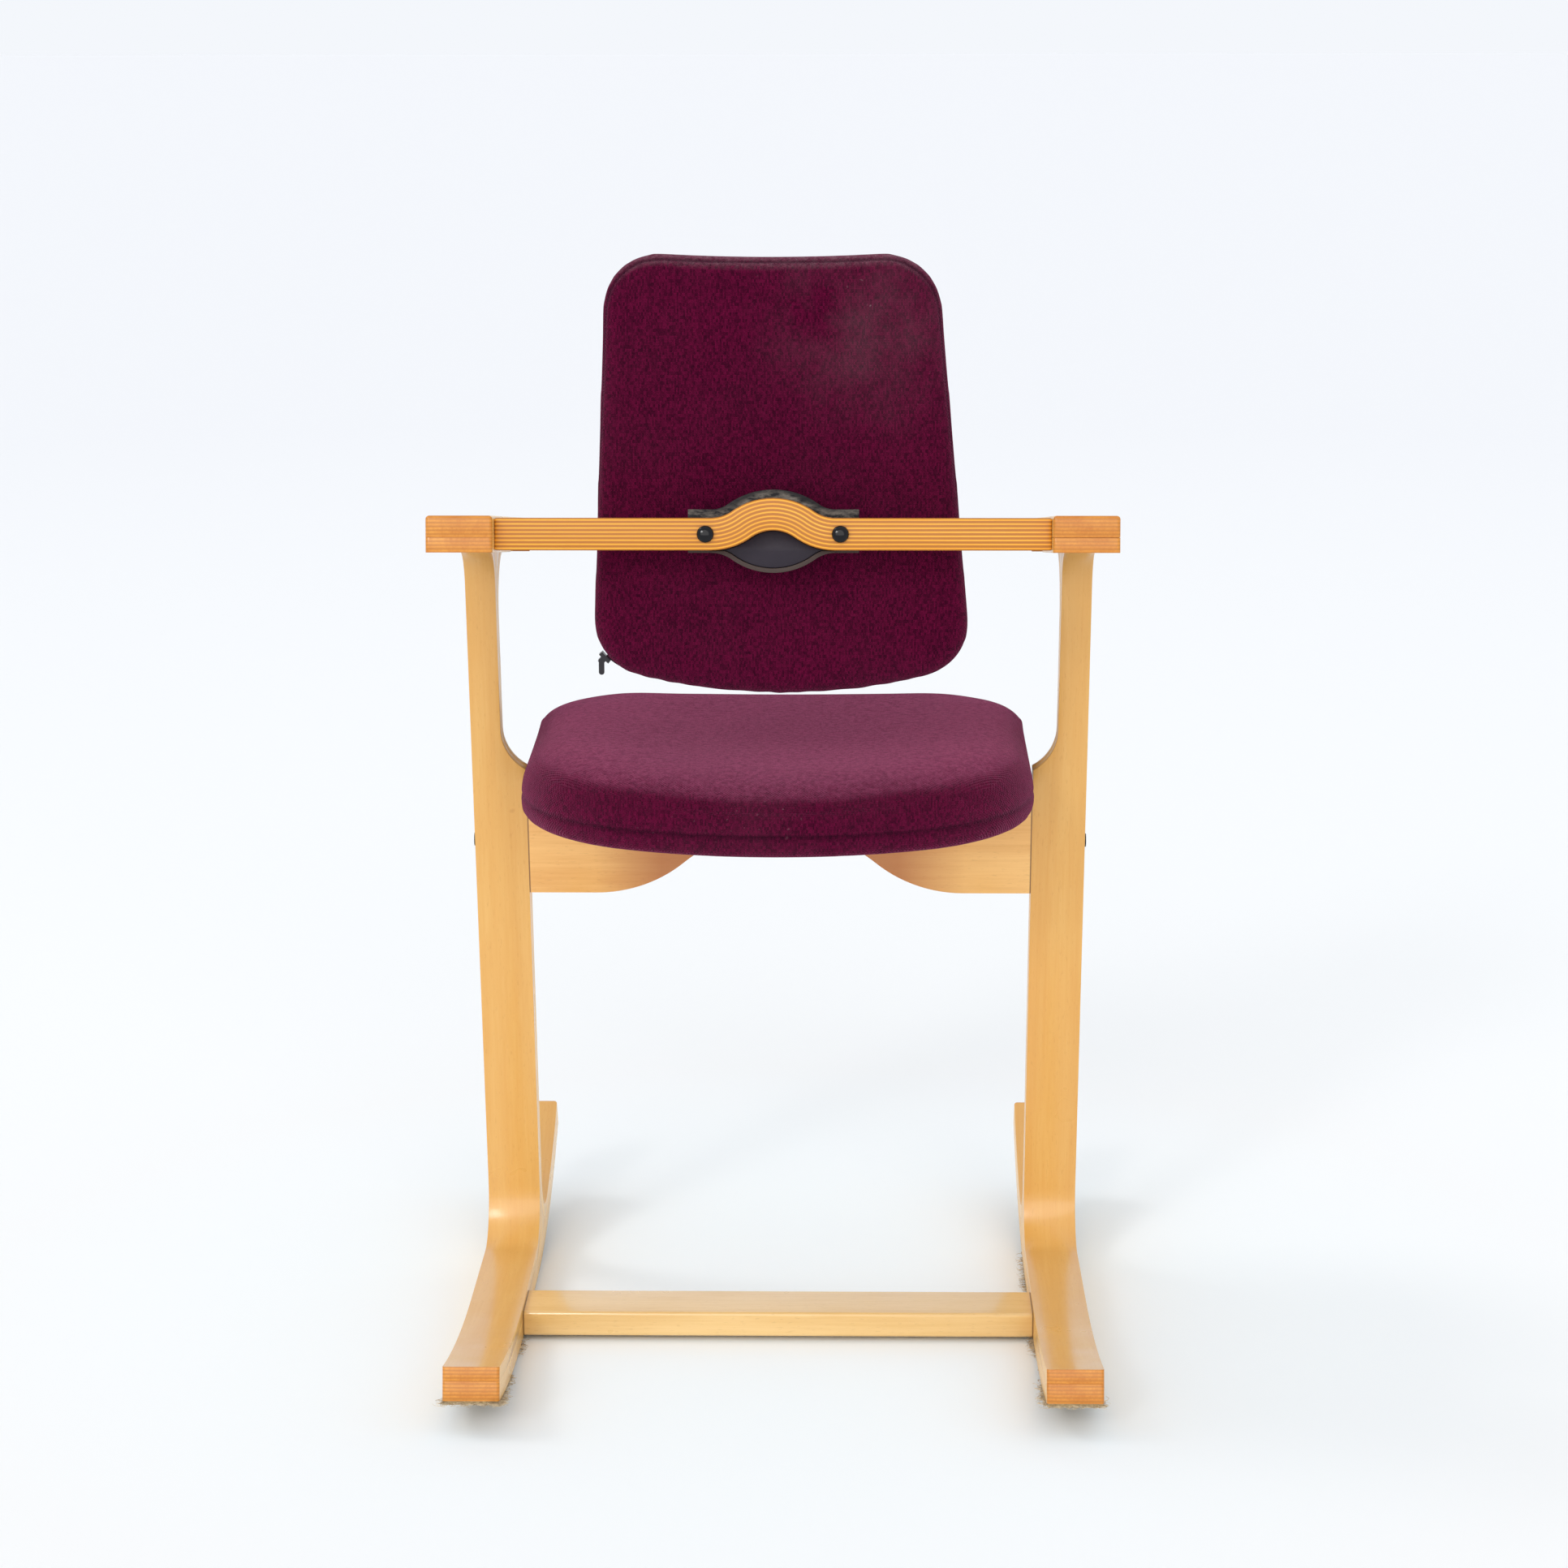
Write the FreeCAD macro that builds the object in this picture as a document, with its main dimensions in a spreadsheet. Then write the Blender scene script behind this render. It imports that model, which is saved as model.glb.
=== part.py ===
# Rocking work chair: split-laminated beech side frames on curved runners, an upholstered seat,
# and an upholstered back that tilts on a rubber-bushed pivot at a laminated cross bar.
# Frame: +Z up, +Y the way the sitter faces, +X to the sitter's right, origin on the floor.
import FreeCAD, Part
import Sketcher
import math
import os
from FreeCAD import Placement, Rotation, Vector

doc = FreeCAD.newDocument("rocking_chair")
spot_tolerance = 0.01

# Driving dimensions, in millimetres and degrees
driving = {
    "leg_outer_span": 540,
    "leg_width": 47,
    "arm_width": 26,
    "half_sheet": 12,
    "sole_thickness": 16,
    "cap_thickness": 17.5,
    "strip_thickness": 3,
    "strip_inset": 1,
    "runner_half_length": 318,
    "flat_rear": 75,
    "flat_front": 60,
    "rear_rocker_radius": 1120,
    "front_rocker_radius": 511,
    "leg_foot": 105.3,
    "leg_lean": 10.1,
    "bend_radius": 42,
    "armrest_width": 53.5,
    "armrest_length": 350,
    "armrest_slope": 8.2,
    "armrest_rear": -242,
    "armrest_height": 747,
    "armrest_edge_round": 3,
    "runner_end_round": 3,
    "notch_shoulder": 486,
    "notch_radius": 41.4,
    "flare_distance": 70,
    "wedge_gap": 0.1,
    "wedge_tip_angle": 10,
    "board_thickness": 22,
    "board_drop": 97.3,
    "board_arch_half": 163,
    "board_arch_radius": 120,
    "board_arch_turn": 40.5,
    "board_bolt_rise": 48,
    "board_bolt_radius": 3,
    "board_bolt_reach": 42,
    "bolt_head_radius": 6,
    "bolt_head_height": 1.5,
    "barrel_nut_radius": 6,
    "barrel_nut_length": 16,
    "dowel_radius": 4,
    "dowel_length": 44,
    "board_dowel_spread": 31,
    "stretcher_rear": -98,
    "stretcher_depth": 58,
    "stretcher_height": 22,
    "stretcher_floor_gap": 4,
    "stretcher_round": 3,
    "stretcher_dowel_rise": 12,
    "stretcher_dowel_spread": 15,
    "bar_recess": 17,
    "bar_depth": 25,
    "bar_height": 26,
    "bar_arch_half": 50,
    "bar_arch_rise": 16,
    "bar_crown_radius": 30,
    "bar_dowel_lift": 5,
    "bar_bolt_half_spread": 54,
    "bar_bolt_radius": 4,
    "bar_bolt_length": 33,
    "dome_radius": 6.85,
    "dome_height": 4.5,
    "dome_flat": 3.4,
    "insert_radius": 6,
    "insert_length": 9,
    "housing_half_width": 69,
    "housing_depth": 11,
    "housing_over": 7,
    "housing_under": 2,
    "rim_depth": 6,
    "rim_thickness": 3.5,
    "plate_depth": 4,
    "plate_gap": 0.4,
    "ear_start": 24,
    "ear_width": 8,
    "ear_radius": 8,
    "axle_offset": 15,
    "axle_radius": 4,
    "axle_overhang": 3,
    "clip_radius": 7,
    "clip_thickness": 1.5,
    "barrel_bore": 6,
    "fit_clearance": 0.05,
    "running_gap": 0.3,
    "back_stand_off": 13.4,
    "back_thickness": 46,
    "back_bottom": 592,
    "back_top": 949,
    "back_low_half_width": 151.5,
    "back_low_level": 650,
    "back_high_half_width": 135.5,
    "back_high_level": 895,
    "back_bottom_radius": 439,
    "back_low_corner": 46,
    "back_top_corner": 46,
    "back_seam_depth": 18,
    "back_rear_draw": 14,
    "back_front_draw": 38,
    "back_shell_inset": 16,
    "back_shell_cover": 6,
    "back_shell_thickness": 8,
    "bracket_half_width": 30,
    "bracket_half_height": 22,
    "bracket_plate": 3,
    "bracket_web": 8,
    "bracket_screw_radius": 2.5,
    "bracket_screw_head": 4.5,
    "bracket_screw_head_height": 2,
    "bracket_screw_length": 9,
    "bracket_screw_inset": 7,
    "zip_width": 6,
    "zip_thickness": 1.2,
    "slider_width": 8,
    "slider_height": 3.4,
    "slider_half_angle": 6,
    "slider_angle": 225,
    "pull_drop": 2.6,
    "pull_pin_radius": 0.8,
    "pull_lug_width": 1.2,
    "pull_width": 4.6,
    "pull_length": 14,
    "pull_thickness": 1.2,
    "seat_height": 467.3,
    "seat_slope": 2.2,
    "seat_half_width": 215,
    "seat_front": 225,
    "seat_rear_radius": 346,
    "seat_rear_edge": 216,
    "seat_side_radius": 150,
    "seat_front_corner": 60,
    "seat_thickness": 47.5,
    "seat_seam_height": 24,
    "seat_under_draw": 15,
    "seat_top_draw": 46,
    "seat_waterfall": 1.5,
    "seat_shell_inset": 24,
    "seat_shell_thickness": 9,
    "cleat_offset": 120,
    "cleat_width": 36,
    "cleat_thickness": 16,
    "cleat_rear": -110,
    "cleat_length": 260,
    "cleat_screw_inset": 22,
    "seat_screw_radius": 2.5,
    "seat_screw_length": 23,
    "seat_screw_head": 4.5,
    "seat_screw_head_height": 2.5,
    "cleat_dowel_sink": 8,
    "cleat_dowel_length": 28,
}
sheet = doc.addObject("Spreadsheet::Sheet", "sizes")
for row, (alias, value) in enumerate(driving.items(), start=1):
    sheet.set("A%d" % row, alias)
    sheet.set("B%d" % row, str(value))
    sheet.setAlias("B%d" % row, alias)
doc.recompute()


def size(alias):
    return float(sheet.get(alias))


def direction(angle):
    return Vector(math.cos(math.radians(angle)), math.sin(math.radians(angle)), 0)


def unit(vector):
    return vector * (1 / vector.Length)


# Helpers that draw sketches and make features from them
def new_body(label, placement=None):
    body = doc.addObject("PartDesign::Body", label)
    body.Label = label
    if placement:
        body.Placement = placement
    return body


def new_sketch(body, role, name, offset=0.0):
    sketch = body.newObject("Sketcher::SketchObject", name)
    plane = next(item for item in body.Origin.OriginFeatures if item.Role == role)
    sketch.AttachmentSupport = [(plane, "")]
    sketch.MapMode = "FlatFace"
    sketch.AttachmentOffset = Placement(Vector(0, 0, offset), Rotation())
    return sketch


# A closed outline: each step is a point to run to in a line, or (via, point) for an arc
def draw(sketch, start, steps):
    here = start
    pieces = []
    for step in steps:
        if isinstance(step, tuple):
            via, there = step
            index = sketch.addGeometry(Part.ArcOfCircle(here, via, there), False)
            forward = (via - here).cross(there - via).z > 0
            pieces.append((index, 1, 2) if forward else (index, 2, 1))
        else:
            there = step
            index = sketch.addGeometry(Part.LineSegment(here, there), False)
            pieces.append((index, 1, 2))
        here = there
    for piece, following in zip(pieces, pieces[1:] + pieces[:1]):
        join = Sketcher.Constraint("Coincident", piece[0], piece[2], following[0], following[1])
        sketch.addConstraint(join)
    return [piece[0] for piece in pieces]


def bind_radius(sketch, index, expression):
    value = sketch.Geometry[index].Radius
    constraint = sketch.addConstraint(Sketcher.Constraint("Radius", index, value))
    sketch.setExpression("Constraints[%d]" % constraint, expression)


def draw_circle(sketch, center, expression, value):
    index = sketch.addGeometry(Part.Circle(center, Vector(0, 0, 1), value), False)
    bind_radius(sketch, index, expression)


def pad(body, sketch, length, flip=False):
    block = body.newObject("PartDesign::Pad", sketch.Name + "_pad")
    block.Profile = sketch
    block.setExpression("Length", length)
    block.Reversed = flip
    doc.recompute()
    return block


def pocket(body, sketch, length):
    before = body.Shape.Volume
    cut = body.newObject("PartDesign::Pocket", sketch.Name + "_pocket")
    cut.Profile = sketch
    cut.setExpression("Length", length)
    doc.recompute()
    if body.Shape.Volume > before - 1:
        raise RuntimeError("pocket cuts nothing: " + sketch.Name)


# Rounds the edges of a feature whose middles lie at the given spots, seen from the side as (Y, Z)
def round_at(body, name, spots, radius):
    base = body.Tip
    chosen = []
    for index, edge in enumerate(base.Shape.Edges, start=1):
        middle = Vector(edge.CenterOfMass.y, edge.CenterOfMass.z, 0)
        if any((middle - spot).Length < spot_tolerance for spot in spots):
            chosen.append("Edge%d" % index)
    if not chosen:
        raise RuntimeError("no edge to round: " + name)
    rounding = body.newObject("PartDesign::Fillet", name)
    rounding.Base = (base, chosen)
    rounding.setExpression("Radius", radius)
    doc.recompute()


# Helpers for round stock, groups, holes and mirror images
x_ward = Rotation(Vector(0, 1, 0), 90)
y_ward = Rotation(Vector(1, 0, 0), -90)
upward = Rotation()


def rod(name, radius, length, placement):
    cylinder = doc.addObject("Part::Cylinder", name)
    cylinder.setExpression("Radius", radius)
    cylinder.setExpression("Height", length)
    cylinder.Placement = placement
    return cylinder


def group(label, members):
    compound = doc.addObject("Part::Compound", label)
    compound.Label = label
    compound.Links = members
    return compound


def rods(label, radius, length, placements):
    return group(label, [rod(label + "_rod", radius, length, place) for place in placements])


def drill(label, base, *holes):
    cut = doc.addObject("Part::Cut", label)
    cut.Label = label
    cut.Base = base
    cut.Tool = holes[0] if len(holes) == 1 else group(label + "_holes", list(holes))
    return cut


def fuse(label, members):
    joined = doc.addObject("Part::MultiFuse", label)
    joined.Label = label
    joined.Shapes = members
    return joined


def mirror(label, source):
    image = doc.addObject("Part::Mirroring", label)
    image.Label = label
    image.Source = source
    image.Normal = Vector(1, 0, 0)
    return image


# Straight lines of the side frame, seen from the side as (Y, Z)
lean = size("leg_lean")
sheet_thickness = size("half_sheet")
bend = size("bend_radius")
outer_bend = bend + sheet_thickness
leg_up = direction(90 + lean)
leg_front = direction(lean)
foot = Vector(size("leg_foot"), 0, 0)
strip_top = size("strip_thickness")
sole_top = strip_top + size("sole_thickness")
runner_top = sole_top + sheet_thickness
inner_half_span = size("leg_outer_span") / 2 - size("leg_width")
inner_span = "2 * (sizes.leg_outer_span / 2 - sizes.leg_width)"
side_place = Placement(Vector(inner_half_span, 0, 0), Rotation())
slope = size("armrest_slope")
arm_forward = direction(-slope)
arm_up = direction(90 - slope)
arm_corner = Vector(size("armrest_rear"), size("armrest_height"), 0)
cap_bottom = size("cap_thickness")
arm_bottom = cap_bottom + sheet_thickness


def leg_point(depth, height):
    along = (height - depth * leg_front.y) / leg_up.y
    return foot + leg_front * depth + leg_up * along


def arm_point(along, below):
    return arm_corner + arm_forward * along - arm_up * below


# Rocker curve of the runner at a height above its underside
rear_center = Vector(-size("flat_rear"), size("rear_rocker_radius"), 0)
front_center = Vector(size("flat_front"), size("front_rocker_radius"), 0)
rear_reach = size("runner_half_length") - size("flat_rear")
front_reach = size("runner_half_length") - size("flat_front")
rear_angle = math.degrees(math.asin(rear_reach / size("rear_rocker_radius")))
front_angle = math.degrees(math.asin(front_reach / size("front_rocker_radius")))


def rear_at(height, share):
    return rear_center + direction(-90 - rear_angle * share) * (size("rear_rocker_radius") - height)


def front_at(height, share):
    return front_center + direction(-90 + front_angle * share) * (size("front_rocker_radius") - height)


def front_share(point):
    away = point - front_center
    return math.degrees(math.atan2(away.x, -away.y)) / front_angle


def runner_layer(sketch, low, high):
    steps = [
        (rear_at(low, 0.5), rear_at(low, 0)),
        front_at(low, 0),
        (front_at(low, 0.5), front_at(low, 1)),
        front_at(high, 1),
        (front_at(high, 0.5), front_at(high, 0)),
        rear_at(high, 0),
        (rear_at(high, 0.5), rear_at(high, 1)),
        rear_at(low, 1),
    ]
    return draw(sketch, rear_at(low, 1), steps)


# Centres of the four bends where the half sheets leave the leg
def bend_under_arm(depth):
    first = depth + foot.dot(leg_front)
    second = arm_corner.dot(arm_up) - arm_bottom - bend
    spread = leg_front.x * arm_up.y - leg_front.y * arm_up.x
    across = (first * arm_up.y - second * leg_front.y) / spread
    upright = (second * leg_front.x - first * arm_up.x) / spread
    return Vector(across, upright, 0)


def bend_on_rocker(depth):
    start = foot + leg_front * depth - front_center
    reach = size("front_rocker_radius") - runner_top - bend
    half = start.dot(leg_up)
    along = -half - math.sqrt(half ** 2 - start.dot(start) + reach ** 2)
    return foot + leg_front * depth + leg_up * along


rear_low_bend = leg_point(-bend, runner_top + bend)
rear_high_bend = bend_under_arm(-bend)
front_low_bend = bend_on_rocker(2 * sheet_thickness + bend)
front_high_bend = bend_under_arm(2 * sheet_thickness + bend)
rocker_down = unit(front_low_bend - front_center)
down = direction(-90)


def bend_step(center, radius, first, last):
    return (center + unit(first + last) * radius, center + last * radius)


def rear_lamination_outline(sketch):
    steps = [
        (rear_at(runner_top, 0.5), rear_at(runner_top, 0)),
        rear_low_bend + down * bend,
        bend_step(rear_low_bend, bend, down, leg_front),
        rear_high_bend + leg_front * bend,
        bend_step(rear_high_bend, bend, leg_front, arm_up),
        arm_point(0, arm_bottom),
        arm_point(0, cap_bottom),
        rear_high_bend + arm_up * outer_bend,
        bend_step(rear_high_bend, outer_bend, arm_up, leg_front),
        rear_low_bend + leg_front * outer_bend,
        bend_step(rear_low_bend, outer_bend, leg_front, down),
        rear_at(sole_top, 0),
        (rear_at(sole_top, 0.5), rear_at(sole_top, 1)),
        rear_at(runner_top, 1),
    ]
    return draw(sketch, rear_at(runner_top, 1), steps)


def front_lamination_outline(sketch):
    touch = front_share(front_low_bend + rocker_down * bend)
    halfway = (1 + touch) / 2
    length = size("armrest_length")
    steps = [
        (front_at(runner_top, halfway), front_at(runner_top, touch)),
        bend_step(front_low_bend, bend, rocker_down, leg_front * -1),
        front_high_bend - leg_front * bend,
        bend_step(front_high_bend, bend, leg_front * -1, arm_up),
        arm_point(length, arm_bottom),
        arm_point(length, cap_bottom),
        front_high_bend + arm_up * outer_bend,
        bend_step(front_high_bend, outer_bend, arm_up, leg_front * -1),
        front_low_bend - leg_front * outer_bend,
        bend_step(front_low_bend, outer_bend, leg_front * -1, rocker_down),
        (front_at(sole_top, halfway), front_at(sole_top, 1)),
        front_at(runner_top, 1),
    ]
    return draw(sketch, front_at(runner_top, 1), steps)


# A cut into the sheet's edge with one rounded shoulder, open at its far end
def notch(sketch, edge, depth, shoulder, far):
    side = math.copysign(1, depth)
    way = math.copysign(1, far - shoulder)
    radius = size("notch_radius")
    rise = math.sqrt(radius ** 2 - (radius - abs(depth)) ** 2)
    begin = Vector(edge, shoulder, 0)
    tangent = Vector(edge + depth, shoulder + way * rise, 0)
    center = tangent - Vector(side * radius, 0, 0)
    via = center + unit((begin - center) + (tangent - center)) * radius
    outside = edge - side * size("leg_width")
    steps = [
        (via, tangent),
        Vector(edge + depth, far, 0),
        Vector(outside, far, 0),
        Vector(outside, shoulder, 0),
        begin,
    ]
    pieces = draw(sketch, begin, steps)
    bind_radius(sketch, pieces[0], "sizes.notch_radius")


def rectangle(sketch, low_x, low_y, high_x, high_y):
    corners = [Vector(high_x, low_y, 0), Vector(high_x, high_y, 0), Vector(low_x, high_y, 0)]
    draw(sketch, Vector(low_x, low_y, 0), corners + [Vector(low_x, low_y, 0)])


# Half sheet: padded to the armrest's width, then cut in to the leg and to the narrow arm
arm_inset = size("leg_width") - size("arm_width")
outer_trim = size("armrest_width") - size("leg_width")
cut_reach = size("armrest_height") + size("runner_half_length")
split_level = arm_point(size("armrest_length"), arm_bottom).y - sheet_thickness


def half_sheet(label, outline, high_bend, end_side, runner_end, arm_end):
    body = new_body(label + "_sheet", side_place)
    profile = new_sketch(body, "YZ_Plane", label + "_profile")
    outline(profile)
    pad(body, profile, "sizes.armrest_width")
    front_view = new_sketch(body, "XZ_Plane", label + "_front_view", cut_reach)
    notch(front_view, 0, arm_inset, size("notch_shoulder"), split_level)
    rectangle(front_view, size("leg_width"), -runner_top, 2 * size("leg_width"), split_level)
    pocket(body, front_view, "2 * (sizes.armrest_height + sizes.runner_half_length)")
    plan_view = new_sketch(body, "XY_Plane", label + "_plan_view", size("armrest_height") + bend)
    flare = high_bend.x + end_side * size("flare_distance") * 0.5
    beyond = leg_point(sheet_thickness, split_level).x - end_side * size("flare_distance")
    notch(plan_view, 0, arm_inset, flare, beyond)
    notch(plan_view, size("armrest_width"), -outer_trim, flare, beyond)
    pocket(body, plan_view, "sizes.armrest_height + sizes.bend_radius - %f" % split_level)
    round_at(body, label + "_runner_end", [runner_end], "sizes.runner_end_round")
    round_at(body, label + "_arm_end", [arm_end], "sizes.armrest_edge_round")
    return body


# Fillers between the parted half sheets, at the runner and at the armrest
gap = size("wedge_gap")
filler = outer_bend + gap
tip = size("wedge_tip_angle")


def low_wedge_outline(sketch):
    toe_angle = math.degrees(math.atan2(rocker_down.y, rocker_down.x)) + 360
    toe = front_low_bend + direction(toe_angle - tip) * filler
    heel = rear_low_bend + direction(-90 + tip) * filler
    toe_share = front_share(toe)
    height = sole_top + gap
    steps = [
        (rear_low_bend + direction((lean - 90) / 2) * filler, rear_low_bend + direction(lean - tip) * filler),
        front_low_bend - leg_front * filler,
        (front_low_bend + direction((180 + lean + toe_angle) / 2) * filler, toe),
        front_at(height, toe_share),
        (front_at(height, toe_share / 2), front_at(height, 0)),
        Vector(heel.x, height, 0),
        heel,
    ]
    draw(sketch, heel, steps)


def high_wedge_outline(sketch):
    heel = rear_high_bend + direction(90 - slope - tip) * filler
    toe = front_high_bend + direction(90 - slope + tip) * filler
    start = rear_high_bend + leg_front * filler
    crest = arm_corner.dot(arm_up) - cap_bottom - gap
    steps = [
        (rear_high_bend + direction((lean + 90 - slope) / 2) * filler, heel),
        heel + arm_up * (crest - heel.dot(arm_up)),
        toe + arm_up * (crest - toe.dot(arm_up)),
        toe,
        (front_high_bend + direction((270 + lean - slope) / 2) * filler,
         front_high_bend + direction(180 + lean - tip) * filler),
        start,
    ]
    draw(sketch, start, steps)


def wedge(name, outline, inset, width):
    body = new_body(name, Placement(Vector(inner_half_span + inset, 0, 0), Rotation()))
    profile = new_sketch(body, "YZ_Plane", name + "_profile")
    outline(profile)
    pad(body, profile, width)
    return body


def runner_strip(label, low, high, inset, width):
    body = new_body(label, Placement(Vector(inner_half_span + inset, 0, 0), Rotation()))
    profile = new_sketch(body, "YZ_Plane", label + "_profile")
    runner_layer(profile, low, high)
    pad(body, profile, width)
    return body


def armrest_cap(label):
    body = new_body(label, side_place)
    profile = new_sketch(body, "YZ_Plane", label + "_profile")
    length = size("armrest_length")
    steps = [arm_point(length, cap_bottom), arm_point(length, 0), arm_point(0, 0), arm_point(0, cap_bottom)]
    draw(profile, arm_point(0, cap_bottom), steps)
    pad(body, profile, "sizes.armrest_width")
    top_spots = [arm_point(along, 0) for along in (0, length / 2, length)]
    end_spots = [arm_point(along, cap_bottom / 2) for along in (0, length)]
    round_at(body, label + "_round", top_spots + end_spots, "sizes.armrest_edge_round")
    return body


# Where the fasteners of the cross members stand
board_bottom = size("seat_height") - size("board_drop")
board_bolt_height = board_bottom + size("board_bolt_rise")
bolt_spot = leg_point(sheet_thickness, board_bolt_height)
dowel_spread = size("board_dowel_spread")
dowel_spots = [leg_point(sheet_thickness, board_bolt_height + way * dowel_spread) for way in (-1, 1)]
dowel_start = inner_half_span - size("dowel_length") / 2
stretcher_middle = size("stretcher_rear") + size("stretcher_depth") / 2
stretcher_spots = []
for way in (-1, 1):
    across = stretcher_middle + way * size("stretcher_dowel_spread")
    stretcher_spots.append(Vector(across, size("stretcher_dowel_rise"), 0))
bar_corner = arm_point(size("bar_recess"), arm_bottom / 2)
bar_place = Placement(Vector(0, bar_corner.x, bar_corner.y), Rotation(Vector(1, 0, 0), -slope))
bar_dowel_spot = arm_point(size("bar_recess") + size("bar_depth") / 2, arm_bottom / 2 - size("bar_dowel_lift"))
snug = " + sizes.fit_clearance"


def cross_rods(name, radius, length, spots, start):
    places = [Placement(Vector(start, spot.x, spot.y), x_ward) for spot in spots]
    return rods(name, radius, length, places)


def both_sides(label, right):
    return group(label, [right, mirror(label + "_left", right)])


board_dowel = cross_rods("board_dowel", "sizes.dowel_radius", "sizes.dowel_length", dowel_spots, dowel_start)
board_dowel_hole = cross_rods(
    "board_dowel_hole", "sizes.dowel_radius" + snug, "sizes.dowel_length", dowel_spots, dowel_start)
bolt_start = inner_half_span - size("board_bolt_reach")
bolt_length = "sizes.board_bolt_reach + sizes.leg_width"
board_bolt_hole = cross_rods(
    "board_bolt_hole", "sizes.board_bolt_radius" + snug, bolt_length, [bolt_spot], bolt_start)
leg_bores = group("leg_bores", [board_dowel_hole, board_bolt_hole])

# Side frames: the right one is modelled, the left one is its mirror image
sheet_middle = sole_top + sheet_thickness / 2
sheet_below = cap_bottom + sheet_thickness / 2
right_rear = half_sheet(
    "rear", rear_lamination_outline, rear_high_bend, -1,
    rear_at(sheet_middle, 1), arm_point(0, sheet_below))
right_front = half_sheet(
    "front", front_lamination_outline, front_high_bend, 1,
    front_at(sheet_middle, 1), arm_point(size("armrest_length"), sheet_below))
stretcher_dowel = cross_rods(
    "stretcher_dowel", "sizes.dowel_radius", "sizes.dowel_length", stretcher_spots, dowel_start)
stretcher_hole = cross_rods(
    "stretcher_hole", "sizes.dowel_radius" + snug, "sizes.dowel_length", stretcher_spots, dowel_start)
bar_dowel = cross_rods("bar_dowel", "sizes.dowel_radius", "sizes.dowel_length", [bar_dowel_spot], dowel_start)
bar_dowel_hole = cross_rods(
    "bar_dowel_hole", "sizes.dowel_radius" + snug, "sizes.dowel_length", [bar_dowel_spot], dowel_start)
sole = runner_strip("sole_blank", strip_top, sole_top, 0, "sizes.leg_width")
sole_middle = (strip_top + sole_top) / 2
round_at(sole, "sole_ends", [rear_at(sole_middle, 1), front_at(sole_middle, 1)], "sizes.runner_end_round")
strip_width = "sizes.leg_width - 2 * sizes.strip_inset"
right_side = {
    "rear_lamination": drill("right_rear_lamination", right_rear, leg_bores),
    "front_lamination": drill("right_front_lamination", right_front, leg_bores),
    "armrest_cap": drill("right_armrest_cap", armrest_cap("cap_blank"), bar_dowel_hole),
    "runner_sole": drill("right_runner_sole", sole, stretcher_hole),
    "floor_strip": runner_strip("right_floor_strip", 0, strip_top, size("strip_inset"), strip_width),
    "wedges": group("right_wedges", [
        wedge("low_wedge", low_wedge_outline, 0, "sizes.leg_width"),
        wedge("high_wedge", high_wedge_outline, arm_inset, "sizes.arm_width"),
    ]),
}
nodes = []
for piece, right in right_side.items():
    nodes.append(right)
    nodes.append(mirror("left_" + piece, right))


# Seat frame: tilted with the seat, its origin on the underside of the seat pad
seat_place = Placement(Vector(0, 0, size("seat_height")), Rotation(Vector(1, 0, 0), size("seat_slope")))
seat_forward = direction(size("seat_slope"))
seat_up = direction(90 + size("seat_slope"))
cleat_plane = Vector(0, size("seat_height"), 0) - seat_up * size("cleat_thickness")


def board_top(depth):
    start = foot + leg_front * depth
    return start + leg_up * ((cleat_plane - start).dot(seat_up) / leg_up.dot(seat_up))


def cross_board():
    body = new_body("board_blank", Placement(Vector(-inner_half_span, 0, 0), Rotation()))
    profile = new_sketch(body, "YZ_Plane", "board_profile")
    thickness = size("board_thickness")
    bottom = board_bottom
    corners = [leg_point(thickness, bottom), board_top(thickness), board_top(0), leg_point(0, bottom)]
    draw(profile, leg_point(0, bottom), corners)
    pad(body, profile, inner_span)
    arch = new_sketch(body, "XZ_Plane", "board_arch", cut_reach)
    radius = size("board_arch_radius")
    turn = size("board_arch_turn")
    half = size("board_arch_half")
    shoulder = Vector(half, bottom + radius, 0)
    knee = shoulder + direction(-90 - turn) * radius
    knee_mid = shoulder + direction(-90 - turn / 2) * radius
    crown_radius = knee.x / math.sin(math.radians(turn))
    crown = Vector(0, knee.y - crown_radius * math.cos(math.radians(turn)), 0)
    apex = crown + direction(90) * crown_radius
    crown_mid = crown + direction(90 - turn / 2) * crown_radius
    middle = Vector(inner_half_span, 0, 0)
    below = Vector(0, -size("board_thickness"), 0)

    def left(point):
        return Vector(-point.x, point.y, 0) + middle

    foot_point = shoulder + down * radius
    steps = [
        (knee_mid + middle, knee + middle),
        (crown_mid + middle, apex + middle),
        (left(crown_mid), left(knee)),
        (left(knee_mid), left(foot_point)),
        left(foot_point) + below,
        foot_point + middle + below,
        foot_point + middle,
    ]
    pieces = draw(arch, foot_point + middle, steps)
    bind_radius(arch, pieces[0], "sizes.board_arch_radius")
    pocket(body, arch, "2 * (sizes.armrest_height + sizes.runner_half_length)")
    return body


# Barrel nuts lie across the board, the bolts thread into them
nut_start = bolt_spot - leg_front * (size("barrel_nut_length") / 2)
nut_x = bolt_start + 2 * size("barrel_nut_radius")
nut_turn = Rotation(Vector(1, 0, 0), lean).multiply(y_ward)
nut_place = Placement(Vector(nut_x, nut_start.x, nut_start.y), nut_turn)
nut_blank = rod("nut_blank", "sizes.barrel_nut_radius", "sizes.barrel_nut_length", nut_place)
nut_hole = rod("nut_hole", "sizes.barrel_nut_radius" + snug, "2 * sizes.barrel_nut_length", nut_place)
right_nut = drill("right_barrel_nut", nut_blank, board_bolt_hole)
bolt_shank = cross_rods("board_bolt_shank", "sizes.board_bolt_radius", bolt_length, [bolt_spot], bolt_start)
head_start = size("leg_outer_span") / 2
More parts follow.
